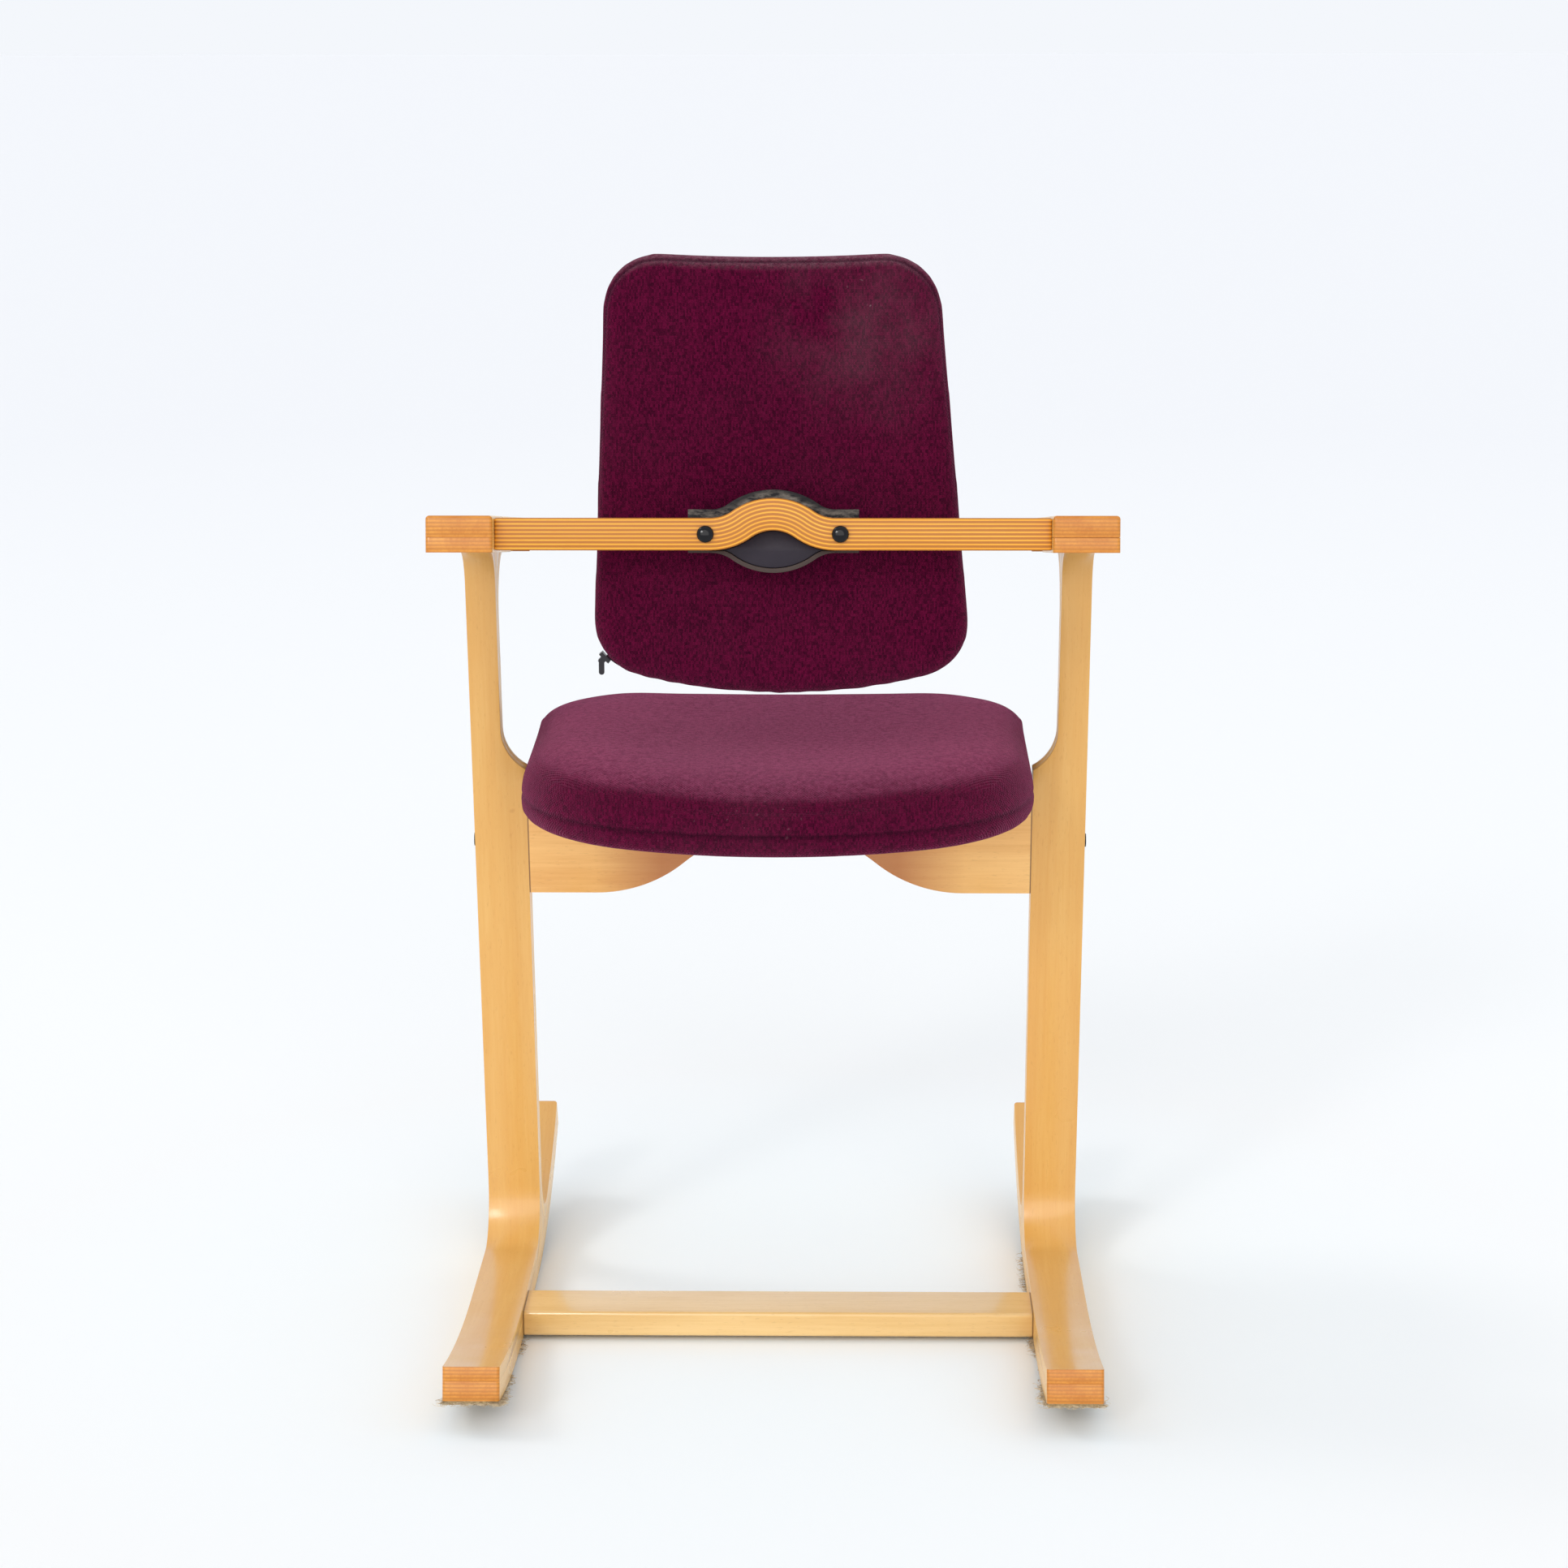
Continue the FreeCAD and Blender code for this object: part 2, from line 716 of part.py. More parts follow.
bolt_head = cross_rods(
    "board_bolt_head", "sizes.bolt_head_radius", "sizes.bolt_head_height", [bolt_spot], head_start)
right_bolt = fuse("right_board_bolt", [bolt_shank, bolt_head])
nodes.append(both_sides("seat_board_dowels", board_dowel))
nodes.append(both_sides("seat_board_bolts", right_bolt))
nodes.append(both_sides("seat_board_barrel_nuts", right_nut))

# Cleats under the seat, dowelled to the board and screwed to the seat shell
board_middle = (board_top(0) + board_top(size("board_thickness"))) * 0.5
dowel_along = (board_middle - Vector(0, size("seat_height"), 0)).dot(seat_forward)
cleat_sides = (-size("cleat_offset"), size("cleat_offset"))
dowel_foot = size("cleat_thickness") - size("cleat_dowel_sink")
dowel_low = -dowel_foot - size("cleat_dowel_length")
screw_rear = size("cleat_rear") + size("cleat_screw_inset")
screw_front = size("cleat_rear") + size("cleat_length") - size("cleat_screw_inset")


def seat_spot(across, along, level):
    return seat_place.multiply(Placement(Vector(across, along, level), upward))


cleat_dowel_places = [seat_spot(side, dowel_along, dowel_low) for side in cleat_sides]
cleat_dowels = rods("cleat_dowels", "sizes.dowel_radius", "sizes.cleat_dowel_length", cleat_dowel_places)
cleat_dowel_holes = rods(
    "cleat_dowel_holes", "sizes.dowel_radius" + snug, "sizes.cleat_dowel_length", cleat_dowel_places)
screw_places = []
head_places = []
for side in cleat_sides:
    for along in (screw_rear, screw_front):
        screw_places.append(seat_spot(side, along, -size("cleat_thickness")))
        head_places.append(seat_spot(side, along, -size("cleat_thickness") - size("seat_screw_head_height")))
screw_holes = rods(
    "seat_screw_holes", "sizes.seat_screw_radius" + snug, "sizes.seat_screw_length", screw_places)
screws = []
for shank, head in zip(screw_places, head_places):
    shank_rod = rod("seat_screw_shank", "sizes.seat_screw_radius", "sizes.seat_screw_length", shank)
    head_rod = rod("seat_screw_cap", "sizes.seat_screw_head", "sizes.seat_screw_head_height", head)
    screws.append(fuse("seat_screw", [shank_rod, head_rod]))
cleat_boxes = []
for side in cleat_sides:
    box = doc.addObject("Part::Box", "cleat_blank")
    box.setExpression("Length", "sizes.cleat_width")
    box.setExpression("Width", "sizes.cleat_length")
    box.setExpression("Height", "sizes.cleat_thickness")
    box.Placement = seat_spot(side - size("cleat_width") / 2, size("cleat_rear"), -size("cleat_thickness"))
    cleat_boxes.append(box)
cleat_blank = group("cleat_blanks", cleat_boxes)
nodes.append(drill("seat_cleats", cleat_blank, cleat_dowel_holes, screw_holes))
nodes.append(cleat_dowels)
nodes.append(group("seat_screws", screws))
left_nut_hole = mirror("left_nut_hole", nut_hole)
left_bores = mirror("left_leg_bores", leg_bores)
nodes.append(drill(
    "seat_cross_board", cross_board(), leg_bores, left_bores, nut_hole, left_nut_hole, cleat_dowel_holes))


def floor_stretcher():
    body = new_body("stretcher_blank", Placement(Vector(-inner_half_span, 0, 0), Rotation()))
    profile = new_sketch(body, "YZ_Plane", "stretcher_profile")
    rear = size("stretcher_rear")
    front = rear + size("stretcher_depth")
    low = size("stretcher_floor_gap")
    high = low + size("stretcher_height")
    rectangle(profile, rear, low, front, high)
    pad(body, profile, inner_span)
    corners = [Vector(across, level, 0) for across in (rear, front) for level in (low, high)]
    round_at(body, "stretcher_edges", corners, "sizes.stretcher_round")
    return body


nodes.append(both_sides("stretcher_dowels", stretcher_dowel))
nodes.append(drill("floor_stretcher", floor_stretcher(), stretcher_hole, mirror("left_stretcher_hole", stretcher_hole)))

# Arch shared by the bar, the pivot housing and its plate: an S-curve of two arcs on each side.
# The level is how far a curve lies above the bar's middle line, at its straight ends.
arch_half = size("bar_arch_half")
arch_turn = 2 * math.degrees(math.atan(size("bar_arch_rise") / arch_half))
arch_sum = arch_half / math.sin(math.radians(arch_turn))
bar_half = size("bar_height") / 2
shoulder_radius = arch_sum - size("bar_crown_radius") - bar_half
shoulder_center = Vector(arch_half, shoulder_radius, 0)
crown_center = shoulder_center - direction(90 - arch_turn) * arch_sum


def arch_points(level, start_turn, flip):
    small = shoulder_radius - level
    big = arch_sum - small
    points = [
        shoulder_center + direction(-90 - start_turn) * small,
        shoulder_center + direction(-90 - (start_turn + arch_turn) / 2) * small,
        shoulder_center + direction(-90 - arch_turn) * small,
        crown_center + direction(90 - arch_turn / 2) * big,
        crown_center + direction(90) * big,
    ]
    return [Vector(point.x, point.y * flip, 0) for point in points]


def leftward(level, start_turn=0, flip=1):
    begin, bend_mid, knee, crown_mid, apex = arch_points(level, start_turn, flip)
    mirrored = [Vector(-point.x, point.y, 0) for point in (crown_mid, knee, bend_mid, begin)]
    steps = [(bend_mid, knee), (crown_mid, apex), (mirrored[0], mirrored[1]), (mirrored[2], mirrored[3])]
    return begin, steps


def rightward(level, start_turn=0, flip=1):
    begin, steps = leftward(level, start_turn, flip)
    mirrored = [(Vector(-via.x, via.y, 0), Vector(-end.x, end.y, 0)) for via, end in steps]
    return Vector(-begin.x, begin.y, 0), mirrored


def back_bar():
    body = new_body("bar_blank", bar_place)
    profile = new_sketch(body, "XZ_Plane", "bar_profile")
    upper, upper_steps = leftward(bar_half)
    lower, lower_steps = rightward(-bar_half)
    right_low = Vector(inner_half_span, -bar_half, 0)
    right_high = Vector(inner_half_span, bar_half, 0)
    left_high = Vector(-inner_half_span, bar_half, 0)
    left_low = Vector(-inner_half_span, -bar_half, 0)
    steps = [right_high, upper] + upper_steps + [left_high, left_low, lower] + lower_steps + [right_low]
    draw(profile, right_low, steps)
    pad(body, profile, "sizes.bar_depth", True)
    return body


# Bar bolts and their inserts, along the bar's depth
bolt_half = size("bar_bolt_half_spread")


def bar_spot(across, along, level=0.0, turn=y_ward):
    return bar_place.multiply(Placement(Vector(across, along, level), turn))


bolt_places = [bar_spot(side, 0) for side in (-bolt_half, bolt_half)]
insert_places = [bar_spot(side, size("bar_depth")) for side in (-bolt_half, bolt_half)]
bolts = []
for place in bolt_places:
    shank = rod("bar_bolt_shank", "sizes.bar_bolt_radius", "sizes.bar_bolt_length", place)
    dome = doc.addObject("Part::Cone", "bar_bolt_dome")
    dome.setExpression("Radius1", "sizes.dome_flat")
    dome.setExpression("Radius2", "sizes.dome_radius")
    dome.setExpression("Height", "sizes.dome_height")
    dome.Placement = place.multiply(Placement(Vector(0, 0, -size("dome_height")), upward))
    bolts.append(fuse("bar_bolt", [shank, dome]))
bolt_holes = rods("bar_bolt_holes", "sizes.bar_bolt_radius" + snug, "sizes.bar_bolt_length" + snug, bolt_places)
insert_holes = rods("insert_holes", "sizes.insert_radius" + snug, "sizes.insert_length" + snug, insert_places)
insert_blanks = rods("insert_blanks", "sizes.insert_radius", "sizes.insert_length", insert_places)
nodes.append(group("bar_bolts", bolts))
nodes.append(drill("bar_inserts", insert_blanks, bolt_holes))
nodes.append(both_sides("back_bar_dowels", bar_dowel))
nodes.append(drill("back_bar", back_bar(), bolt_holes, bar_dowel_hole, mirror("left_bar_dowel_hole", bar_dowel_hole)))

# Pivot housing: eye-shaped body in front of the bar, a lip below the bar, and two ears for the axle
axle_along = size("bar_depth") + size("axle_offset")
ear_out = size("ear_start") + size("ear_width")
axle_half = ear_out + size("clip_thickness") + size("axle_overhang")
axle_length = "2 * (sizes.ear_start + sizes.ear_width + sizes.clip_thickness + sizes.axle_overhang)"
trough_radius = "sizes.ear_radius + 2 * sizes.running_gap"
housing_top = bar_half + size("housing_over")
housing_bottom = bar_half + size("housing_under")
lip_level = housing_bottom - size("rim_thickness")
lip_clear = bar_half + size("plate_gap")
lip_radius = shoulder_radius - lip_level
lip_turn = math.degrees(math.acos(1 - (lip_clear - lip_level) / lip_radius))


def pivot_housing():
    body = new_body("housing_blank", bar_place)
    eye = new_sketch(body, "XZ_Plane", "housing_eye", -size("bar_depth"))
    half = size("housing_half_width")
    upper, upper_steps = leftward(housing_top)
    lower, lower_steps = rightward(housing_bottom, 0, -1)
    corners = [Vector(half, housing_top, 0), Vector(-half, housing_top, 0), Vector(-half, -housing_bottom, 0)]
    right_low = Vector(half, -housing_bottom, 0)
    steps = [corners[0], upper] + upper_steps + corners[1:] + [lower] + lower_steps + [right_low]
    draw(eye, right_low, steps)
    pad(body, eye, "sizes.housing_depth", True)
    lip = new_sketch(body, "XZ_Plane", "housing_lip", -size("bar_depth"))
    outer, outer_steps = rightward(housing_bottom, 0, -1)
    inner, inner_steps = leftward(lip_level, lip_turn, -1)
    right_end = Vector(arch_half, -lip_clear, 0)
    left_end = Vector(-arch_half, -lip_clear, 0)
    draw(lip, outer, outer_steps + [right_end, inner] + inner_steps + [left_end, outer])
    pad(body, lip, "sizes.rim_depth")
    trough = new_sketch(body, "YZ_Plane", "housing_trough", axle_half + size("running_gap"))
    draw_circle(trough, Vector(axle_along, 0, 0), trough_radius, size("ear_radius") + 2 * size("running_gap"))
    pocket(body, trough, axle_length + " + 2 * sizes.running_gap")
    radius = size("ear_radius")
    root = size("bar_depth") + size("housing_depth") / 3
    for number, offset in enumerate((size("ear_start"), -ear_out)):
        ear = new_sketch(body, "YZ_Plane", "housing_ear_%d" % number, offset)
        steps = [
            Vector(axle_along, -radius, 0),
            (Vector(axle_along + radius, 0, 0), Vector(axle_along, radius, 0)),
            Vector(root, radius, 0),
            Vector(root, -radius, 0),
        ]
        pieces = draw(ear, Vector(root, -radius, 0), steps)
        bind_radius(ear, pieces[1], "sizes.ear_radius")
        pad(body, ear, "sizes.ear_width")
    return body


def cover_plate(label):
    body = new_body(label, bar_place)
    outline = new_sketch(body, "XZ_Plane", label + "_outline", -size("bar_depth"))
    play = size("plate_gap")
    upper, upper_steps = leftward(-bar_half - play, lip_turn / 2)
    lower, lower_steps = rightward(lip_level - play, lip_turn + play, -1)
    draw(outline, upper, upper_steps + [lower] + lower_steps + [upper])
    pad(body, outline, "sizes.plate_depth")
    return body


axle_place = bar_spot(-axle_half, axle_along, 0, x_ward)
axle = rod("pivot_axle", "sizes.axle_radius", axle_length, axle_place)
axle_hole = rod("axle_hole", "sizes.axle_radius" + snug, axle_length, axle_place)
clip_start = ear_out + size("running_gap")
clip_places = [bar_spot(start, axle_along, 0, x_ward) for start in (clip_start, -clip_start - size("clip_thickness"))]
clip_blanks = rods("clip_blanks", "sizes.clip_radius", "sizes.clip_thickness", clip_places)
nodes.append(drill("pivot_housing", pivot_housing(), insert_holes, bolt_holes, axle_hole))
nodes.append(cover_plate("pivot_cover_plate"))
nodes.append(axle)
nodes.append(drill("axle_clips", clip_blanks, axle_hole))

# Bracket of the back: a barrel on the axle, a web through the cover and a plate on the back shell
pivot = bar_place.multVec(Vector(0, axle_along, 0))
back_face = pivot.y + size("back_stand_off")
shell_face = back_face + size("back_shell_cover")
play = size("running_gap")
barrel_half = size("ear_start") - play
barrel_span = "2 * (sizes.ear_start - sizes.running_gap)"
barrel_place = Placement(Vector(-barrel_half, pivot.y, pivot.z), x_ward)
bush_hole = rod("bush_hole", "sizes.barrel_bore" + snug, barrel_span, barrel_place)
bush_blank = rod("bush_blank", "sizes.barrel_bore", barrel_span, barrel_place)


def box(name, low, high):
    block = doc.addObject("Part::Box", name)
    block.Length = high.x - low.x
    block.Width = high.y - low.y
    block.Height = high.z - low.z
    block.Placement = Placement(low, Rotation())
    return block


half_web = size("bracket_web") / 2
plate_rear = shell_face - size("bracket_plate")
web = box(
    "bracket_web",
    Vector(-barrel_half, pivot.y, pivot.z - half_web),
    Vector(barrel_half, shell_face, pivot.z + half_web))
plate = box(
    "bracket_plate",
    Vector(-size("bracket_half_width"), plate_rear, pivot.z - size("bracket_half_height")),
    Vector(size("bracket_half_width"), shell_face, pivot.z + size("bracket_half_height")))
barrel = rod("bracket_barrel", "sizes.ear_radius", barrel_span, barrel_place)
bracket_blank = fuse("bracket_blank", [barrel, web, plate])
screw_across = size("bracket_half_width") - size("bracket_screw_inset")
screw_level = size("bracket_half_height") - size("bracket_screw_inset")
bracket_spots = [(across * screw_across, level * screw_level) for across in (-1, 1) for level in (-1, 1)]
bracket_places = []
bracket_head_places = []
for across, level in bracket_spots:
    bracket_places.append(Placement(Vector(across, plate_rear, pivot.z + level), y_ward))
    head_rear = plate_rear - size("bracket_screw_head_height")
    bracket_head_places.append(Placement(Vector(across, head_rear, pivot.z + level), y_ward))
bracket_holes = rods(
    "bracket_holes", "sizes.bracket_screw_radius" + snug, "sizes.bracket_screw_length", bracket_places)
bracket_screws = []
for shank, head in zip(bracket_places, bracket_head_places):
    shank_rod = rod("bracket_screw_shank", "sizes.bracket_screw_radius", "sizes.bracket_screw_length", shank)
    head_rod = rod("bracket_screw_cap", "sizes.bracket_screw_head", "sizes.bracket_screw_head_height", head)
    bracket_screws.append(fuse("bracket_screw", [shank_rod, head_rod]))
nodes.append(drill("back_bracket", bracket_blank, bush_hole, bracket_holes))
nodes.append(drill("pivot_bush", bush_blank, axle_hole))
nodes.append(group("bracket_screws", bracket_screws))

# Outline of the back as (X, Z): straight tapered sides, a straight top and an arched bottom
taper_run = size("back_high_level") - size("back_low_level")
taper = math.degrees(math.atan((size("back_low_half_width") - size("back_high_half_width")) / taper_run))
side_out = direction(taper)
side_anchor = Vector(size("back_low_half_width"), size("back_low_level"), 0)
low_corner = size("back_low_corner")
top_corner = size("back_top_corner")
bottom_center = Vector(0, size("back_bottom") + size("back_bottom_radius"), 0)
top_level = size("back_top") - top_corner
top_across = (side_anchor.dot(side_out) - top_corner - top_level * side_out.y) / side_out.x
top_center = Vector(top_across, top_level, 0)


def low_corner_center():
    along = direction(90 + taper)
    start = side_anchor - side_out * low_corner - bottom_center
    reach = size("back_bottom_radius") - low_corner
    half = start.dot(along)
    return start + bottom_center + along * (-half - math.sqrt(half ** 2 - start.dot(start) + reach ** 2))


low_center = low_corner_center()
low_out = unit(low_center - bottom_center)
low_out_angle = math.degrees(math.atan2(low_out.y, low_out.x))


def flipped(point):
    return Vector(-point.x, point.y, 0)


# The outline drawn in by an inset, counterclockwise from the right end of the bottom arc
def back_outline(inset):
    low = low_corner - inset
    top = top_corner - inset
    bottom_end = low_center + low_out * low
    low_mid = low_center + direction((low_out_angle + taper) / 2) * low
    side_low = low_center + side_out * low
    side_high = top_center + side_out * top
    top_mid = top_center + direction((taper + 90) / 2) * top
    top_end = top_center + direction(90) * top
    bottom_mid = bottom_center + down * (size("back_bottom_radius") - inset)
    steps = [
        (low_mid, side_low),
        side_high,
        (top_mid, top_end),
        flipped(top_end),
        (flipped(top_mid), flipped(side_high)),
        flipped(side_low),
        (flipped(low_mid), flipped(bottom_end)),
        (bottom_mid, bottom_end),
    ]
    return bottom_end, steps


def wire(start, steps, lift):
    here = start
    edges = []
    for step in steps:
        via, there = step if isinstance(step, tuple) else (None, step)
        if via is None:
            edges.append(Part.LineSegment(lift(here), lift(there)).toShape())
        else:
            edges.append(Part.Arc(lift(here), lift(via), lift(there)).toShape())
        here = there
    return Part.Wire(edges)


# Cushion forms: how far the outline is drawn in at each share of the depth from seam to face
def crown_sections(depth, seam, rear_draw, front_draw):
    levels = []
    for share, draw_in in ((1, 1), (0.85, 0.5), (0.5, 0.12), (0, 0)):
        levels.append((seam * (1 - share), rear_draw * draw_in))
    rest = depth - seam
    for share, draw_in in ((0.24, 0.015), (0.46, 0.07), (0.66, 0.18), (0.82, 0.36), (0.94, 0.64), (1, 1)):
        levels.append((seam + rest * share, front_draw * draw_in))
    return levels


def feature(label, shape):
    item = doc.addObject("Part::Feature", label)
    item.Label = label
    item.Shape = shape
    return item


def back_cushion_blank():
    wires = []
    levels = crown_sections(
        size("back_thickness"), size("back_seam_depth"), size("back_rear_draw"), size("back_front_draw"))
    for depth, inset in levels:
        start, steps = back_outline(inset)
        wires.append(wire(start, steps, lambda point: Vector(point.x, back_face + depth, point.y)))
    return feature("back_cushion_blank", Part.makeLoft(wires, True, True))


def back_plate(label, inset, rear, thickness):
    body = new_body(label)
    profile = new_sketch(body, "XZ_Plane", label + "_outline", -rear)
    start, steps = back_outline(inset)
    draw(profile, start, steps)
    pad(body, profile, thickness, True)
    return body


shell_blank = back_plate("back_shell_blank", size("back_shell_inset"), shell_face, "sizes.back_shell_thickness")
back_cavity = back_plate(
    "back_cavity", size("back_shell_inset") - play, shell_face - play,
    "sizes.back_shell_thickness + 2 * sizes.running_gap")
opening = size("bracket_half_width") + size("bracket_plate")
opening_height = size("bracket_half_height") + size("bracket_plate")
bracket_opening = box(
    "bracket_opening",
    Vector(-opening, back_face - size("back_thickness"), pivot.z - opening_height),
    Vector(opening, shell_face, pivot.z + opening_height))
nodes.append(drill("back_shell", shell_blank, bracket_holes))
nodes.append(drill("back_cushion", back_cushion_blank(), back_cavity, bracket_opening))


# Zip along the lower seam of the back cover, with its slider and hanging pull
def seam_band(sketch, near, far, first_angle):
    low_near = low_corner + near
    low_far = low_corner + far
    bottom_near = bottom_center + down * (size("back_bottom_radius") + near)
    bottom_far = bottom_center + down * (size("back_bottom_radius") + far)
    middle_angle = (first_angle + low_out_angle) / 2
    right_end = low_center + direction(first_angle) * low_near
    far_end = low_center + direction(first_angle) * low_far
    steps = [
        far_end,
        (low_center + direction(middle_angle) * low_far, low_center + low_out * low_far),
        (bottom_far, flipped(low_center + low_out * low_far)),
        (flipped(low_center + direction(middle_angle) * low_far), flipped(far_end)),
        flipped(right_end),
        (flipped(low_center + direction(middle_angle) * low_near), flipped(low_center + low_out * low_near)),
        (bottom_near, low_center + low_out * low_near),
        (low_center + direction(middle_angle) * low_near, right_end),
    ]
    draw(sketch, right_end, steps)


seam_plane = back_face + size("back_seam_depth")
tape_far = play + size("zip_thickness")
slider_angle = size("slider_angle")
slider_center = flipped(low_center)
slider_far = tape_far + size("slider_height")
pin_spot = slider_center + direction(slider_angle) * (low_corner + slider_far + size("pull_drop"))


def zip_tape(label):
    body = new_body(label)
    profile = new_sketch(body, "XZ_Plane", label + "_profile", -(seam_plane - size("zip_width") / 2))
    seam_band(profile, play, tape_far, 180 - slider_angle)
    pad(body, profile, "sizes.zip_width", True)
    return body


def zip_slider(label):
    body = new_body(label)
    rear = seam_plane - size("slider_width") / 2
    profile = new_sketch(body, "XZ_Plane", label + "_profile", -rear)
    near = low_corner + tape_far
    far = low_corner + slider_far
    half = size("slider_half_angle")
    points = {}
    for name, radius in (("near", near), ("far", far)):
        points[name] = [slider_center + direction(slider_angle + turn) * radius for turn in (-half, 0, half)]
    steps = [
        points["far"][0],
        (points["far"][1], points["far"][2]),
        points["near"][2],
        (points["near"][1], points["near"][0]),
    ]
    draw(profile, points["near"][0], steps)
    pad(body, profile, "sizes.slider_width", True)
    along = direction(slider_angle)
    aside = direction(slider_angle + 90) * (3 * size("pull_pin_radius"))
    root = slider_center + along * (near + far) * 0.5
    tip_point = pin_spot + along * (2 * size("pull_pin_radius"))
    for number, start in enumerate((rear, seam_plane + size("slider_width") / 2 - size("pull_lug_width"))):
        lug = new_sketch(body, "XZ_Plane", label + "_lug_%d" % number, -start)
        draw(lug, root + aside, [root - aside, tip_point - aside, tip_point + aside, root + aside])
        pad(body, lug, "sizes.pull_lug_width", True)
    pin = new_sketch(body, "XZ_Plane", label + "_pin", -rear)
    draw_circle(pin, pin_spot, "sizes.pull_pin_radius", size("pull_pin_radius"))
    pad(body, pin, "sizes.slider_width", True)
    return body


def zip_pull(label):
    body = new_body(label)
    start = seam_plane - size("pull_thickness") / 2
    profile = new_sketch(body, "XZ_Plane", label + "_profile", -start)
    half = size("pull_width") / 2
    tail = pin_spot - Vector(0, size("pull_length") - 2 * half, 0)
    right = Vector(half, 0, 0)
    steps = [
        pin_spot + right,
        (pin_spot + Vector(0, half, 0), pin_spot - right),
        tail - right,
        (tail - Vector(0, half, 0), tail + right),
    ]
    draw(profile, tail + right, steps)
    bore = size("pull_pin_radius") + size("fit_clearance")
    draw_circle(profile, pin_spot, "sizes.pull_pin_radius + sizes.fit_clearance", bore)
    pad(body, profile, "sizes.pull_thickness", True)
    return body


nodes.append(zip_tape("zip_tape"))
nodes.append(zip_slider("zip_slider"))
nodes.append(zip_pull("zip_pull"))

# Seat outline as (X, Y): a wide rear arc, two side arcs, straight sides and front
rear_arc_center = Vector(0, size("seat_rear_radius") - size("seat_rear_edge"), 0)
side_arc_across = size("seat_half_width") - size("seat_side_radius")
arc_gap = size("seat_rear_radius") - size("seat_side_radius")
side_arc_center = Vector(side_arc_across, rear_arc_center.y - math.sqrt(arc_gap ** 2 - side_arc_across ** 2), 0)
seat_out = unit(side_arc_center - rear_arc_center)
seat_out_angle = math.degrees(math.atan2(seat_out.y, seat_out.x))


def seat_outline(inset, front_inset):
    side_radius = size("seat_side_radius") - inset
    corner = size("seat_front_corner") - inset
    edge = size("seat_half_width") - inset
    front = size("seat_front") - front_inset
    corner_center = Vector(edge - corner, front - corner, 0)
    rear_end = side_arc_center + seat_out * side_radius
    side_mid = side_arc_center + direction(seat_out_angle / 2) * side_radius
    side_start = Vector(edge, side_arc_center.y, 0)
    side_end = Vector(edge, corner_center.y, 0)
    corner_mid = corner_center + direction(45) * corner
    front_end = corner_center + direction(90) * corner
    rear_mid = rear_arc_center + down * (size("seat_rear_radius") - inset)
    steps = [
        (side_mid, side_start),
        side_end,
        (corner_mid, front_end),
        flipped(front_end),
        (flipped(corner_mid), flipped(side_end)),
        flipped(side_start),
        (flipped(side_mid), flipped(rear_end)),
        (rear_mid, rear_end),
    ]
    return rear_end, steps


# The front edge falls away in a waterfall: its top is drawn in more than the sides
def seat_cushion_blank():
    wires = []
    levels = crown_sections(
        size("seat_thickness"), size("seat_seam_height"), size("seat_under_draw"), size("seat_top_draw"))
    for level, inset in levels:
        front_inset = inset if level <= size("seat_seam_height") else inset * size("seat_waterfall")
        start, steps = seat_outline(inset, front_inset)
        wires.append(wire(start, steps, lambda point: Vector(point.x, point.y, level)))
    blank = feature("seat_cushion_blank", Part.makeLoft(wires, True, True))
    blank.Placement = seat_place
    return blank


def seat_plate(label, inset, low, thickness):
    body = new_body(label, seat_place)
    profile = new_sketch(body, "XY_Plane", label + "_outline", low)
    start, steps = seat_outline(inset, inset)
    draw(profile, start, steps)
    pad(body, profile, thickness)
    return body


seat_shell_blank = seat_plate("seat_shell_blank", size("seat_shell_inset"), 0, "sizes.seat_shell_thickness")
seat_cavity = seat_plate(
    "seat_cavity", size("seat_shell_inset") - play, -play, "sizes.seat_shell_thickness + 2 * sizes.running_gap")
nodes.append(drill("seat_shell", seat_shell_blank, screw_holes))
nodes.append(drill("seat_cushion", seat_cushion_blank(), seat_cavity))

# Everything is recomputed and tested before any file is written
doc.recompute()
for item in doc.Objects:
    if "Invalid" in item.State or "Error" in item.State:
        raise RuntimeError("failed object: " + item.Name)
for node in nodes:
    if node.Shape.isNull() or not node.Shape.isValid():
        raise RuntimeError("bad shape: " + node.Label)
os.makedirs("parts", exist_ok=True)
for node in nodes:
    node.Shape.exportStep("parts/%s.step" % node.Label)
    print(node.Label, len(node.Shape.Solids), round(node.Shape.Volume))
print("pivot", [round(value, 3) for value in pivot])
print("pull pin", round(pin_spot.x, 3), round(seam_plane, 3), round(pin_spot.y, 3))
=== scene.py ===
import math
import random
import bpy
import numpy as np
from mathutils import Euler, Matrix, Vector


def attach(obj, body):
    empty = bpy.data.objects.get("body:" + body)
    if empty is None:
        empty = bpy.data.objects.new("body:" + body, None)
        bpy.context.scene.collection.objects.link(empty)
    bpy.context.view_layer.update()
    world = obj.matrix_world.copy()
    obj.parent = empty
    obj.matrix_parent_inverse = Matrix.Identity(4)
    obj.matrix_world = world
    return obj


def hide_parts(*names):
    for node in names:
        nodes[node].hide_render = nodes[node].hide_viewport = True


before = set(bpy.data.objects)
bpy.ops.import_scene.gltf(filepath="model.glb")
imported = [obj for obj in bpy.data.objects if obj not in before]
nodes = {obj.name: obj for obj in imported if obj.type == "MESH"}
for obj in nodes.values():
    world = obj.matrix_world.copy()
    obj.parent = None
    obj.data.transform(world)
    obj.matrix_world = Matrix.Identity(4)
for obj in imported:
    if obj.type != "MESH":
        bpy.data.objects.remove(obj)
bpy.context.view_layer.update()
scene = bpy.context.scene
scene.view_settings.view_transform = "Standard"
print("frame loaded:", len(nodes), "nodes")


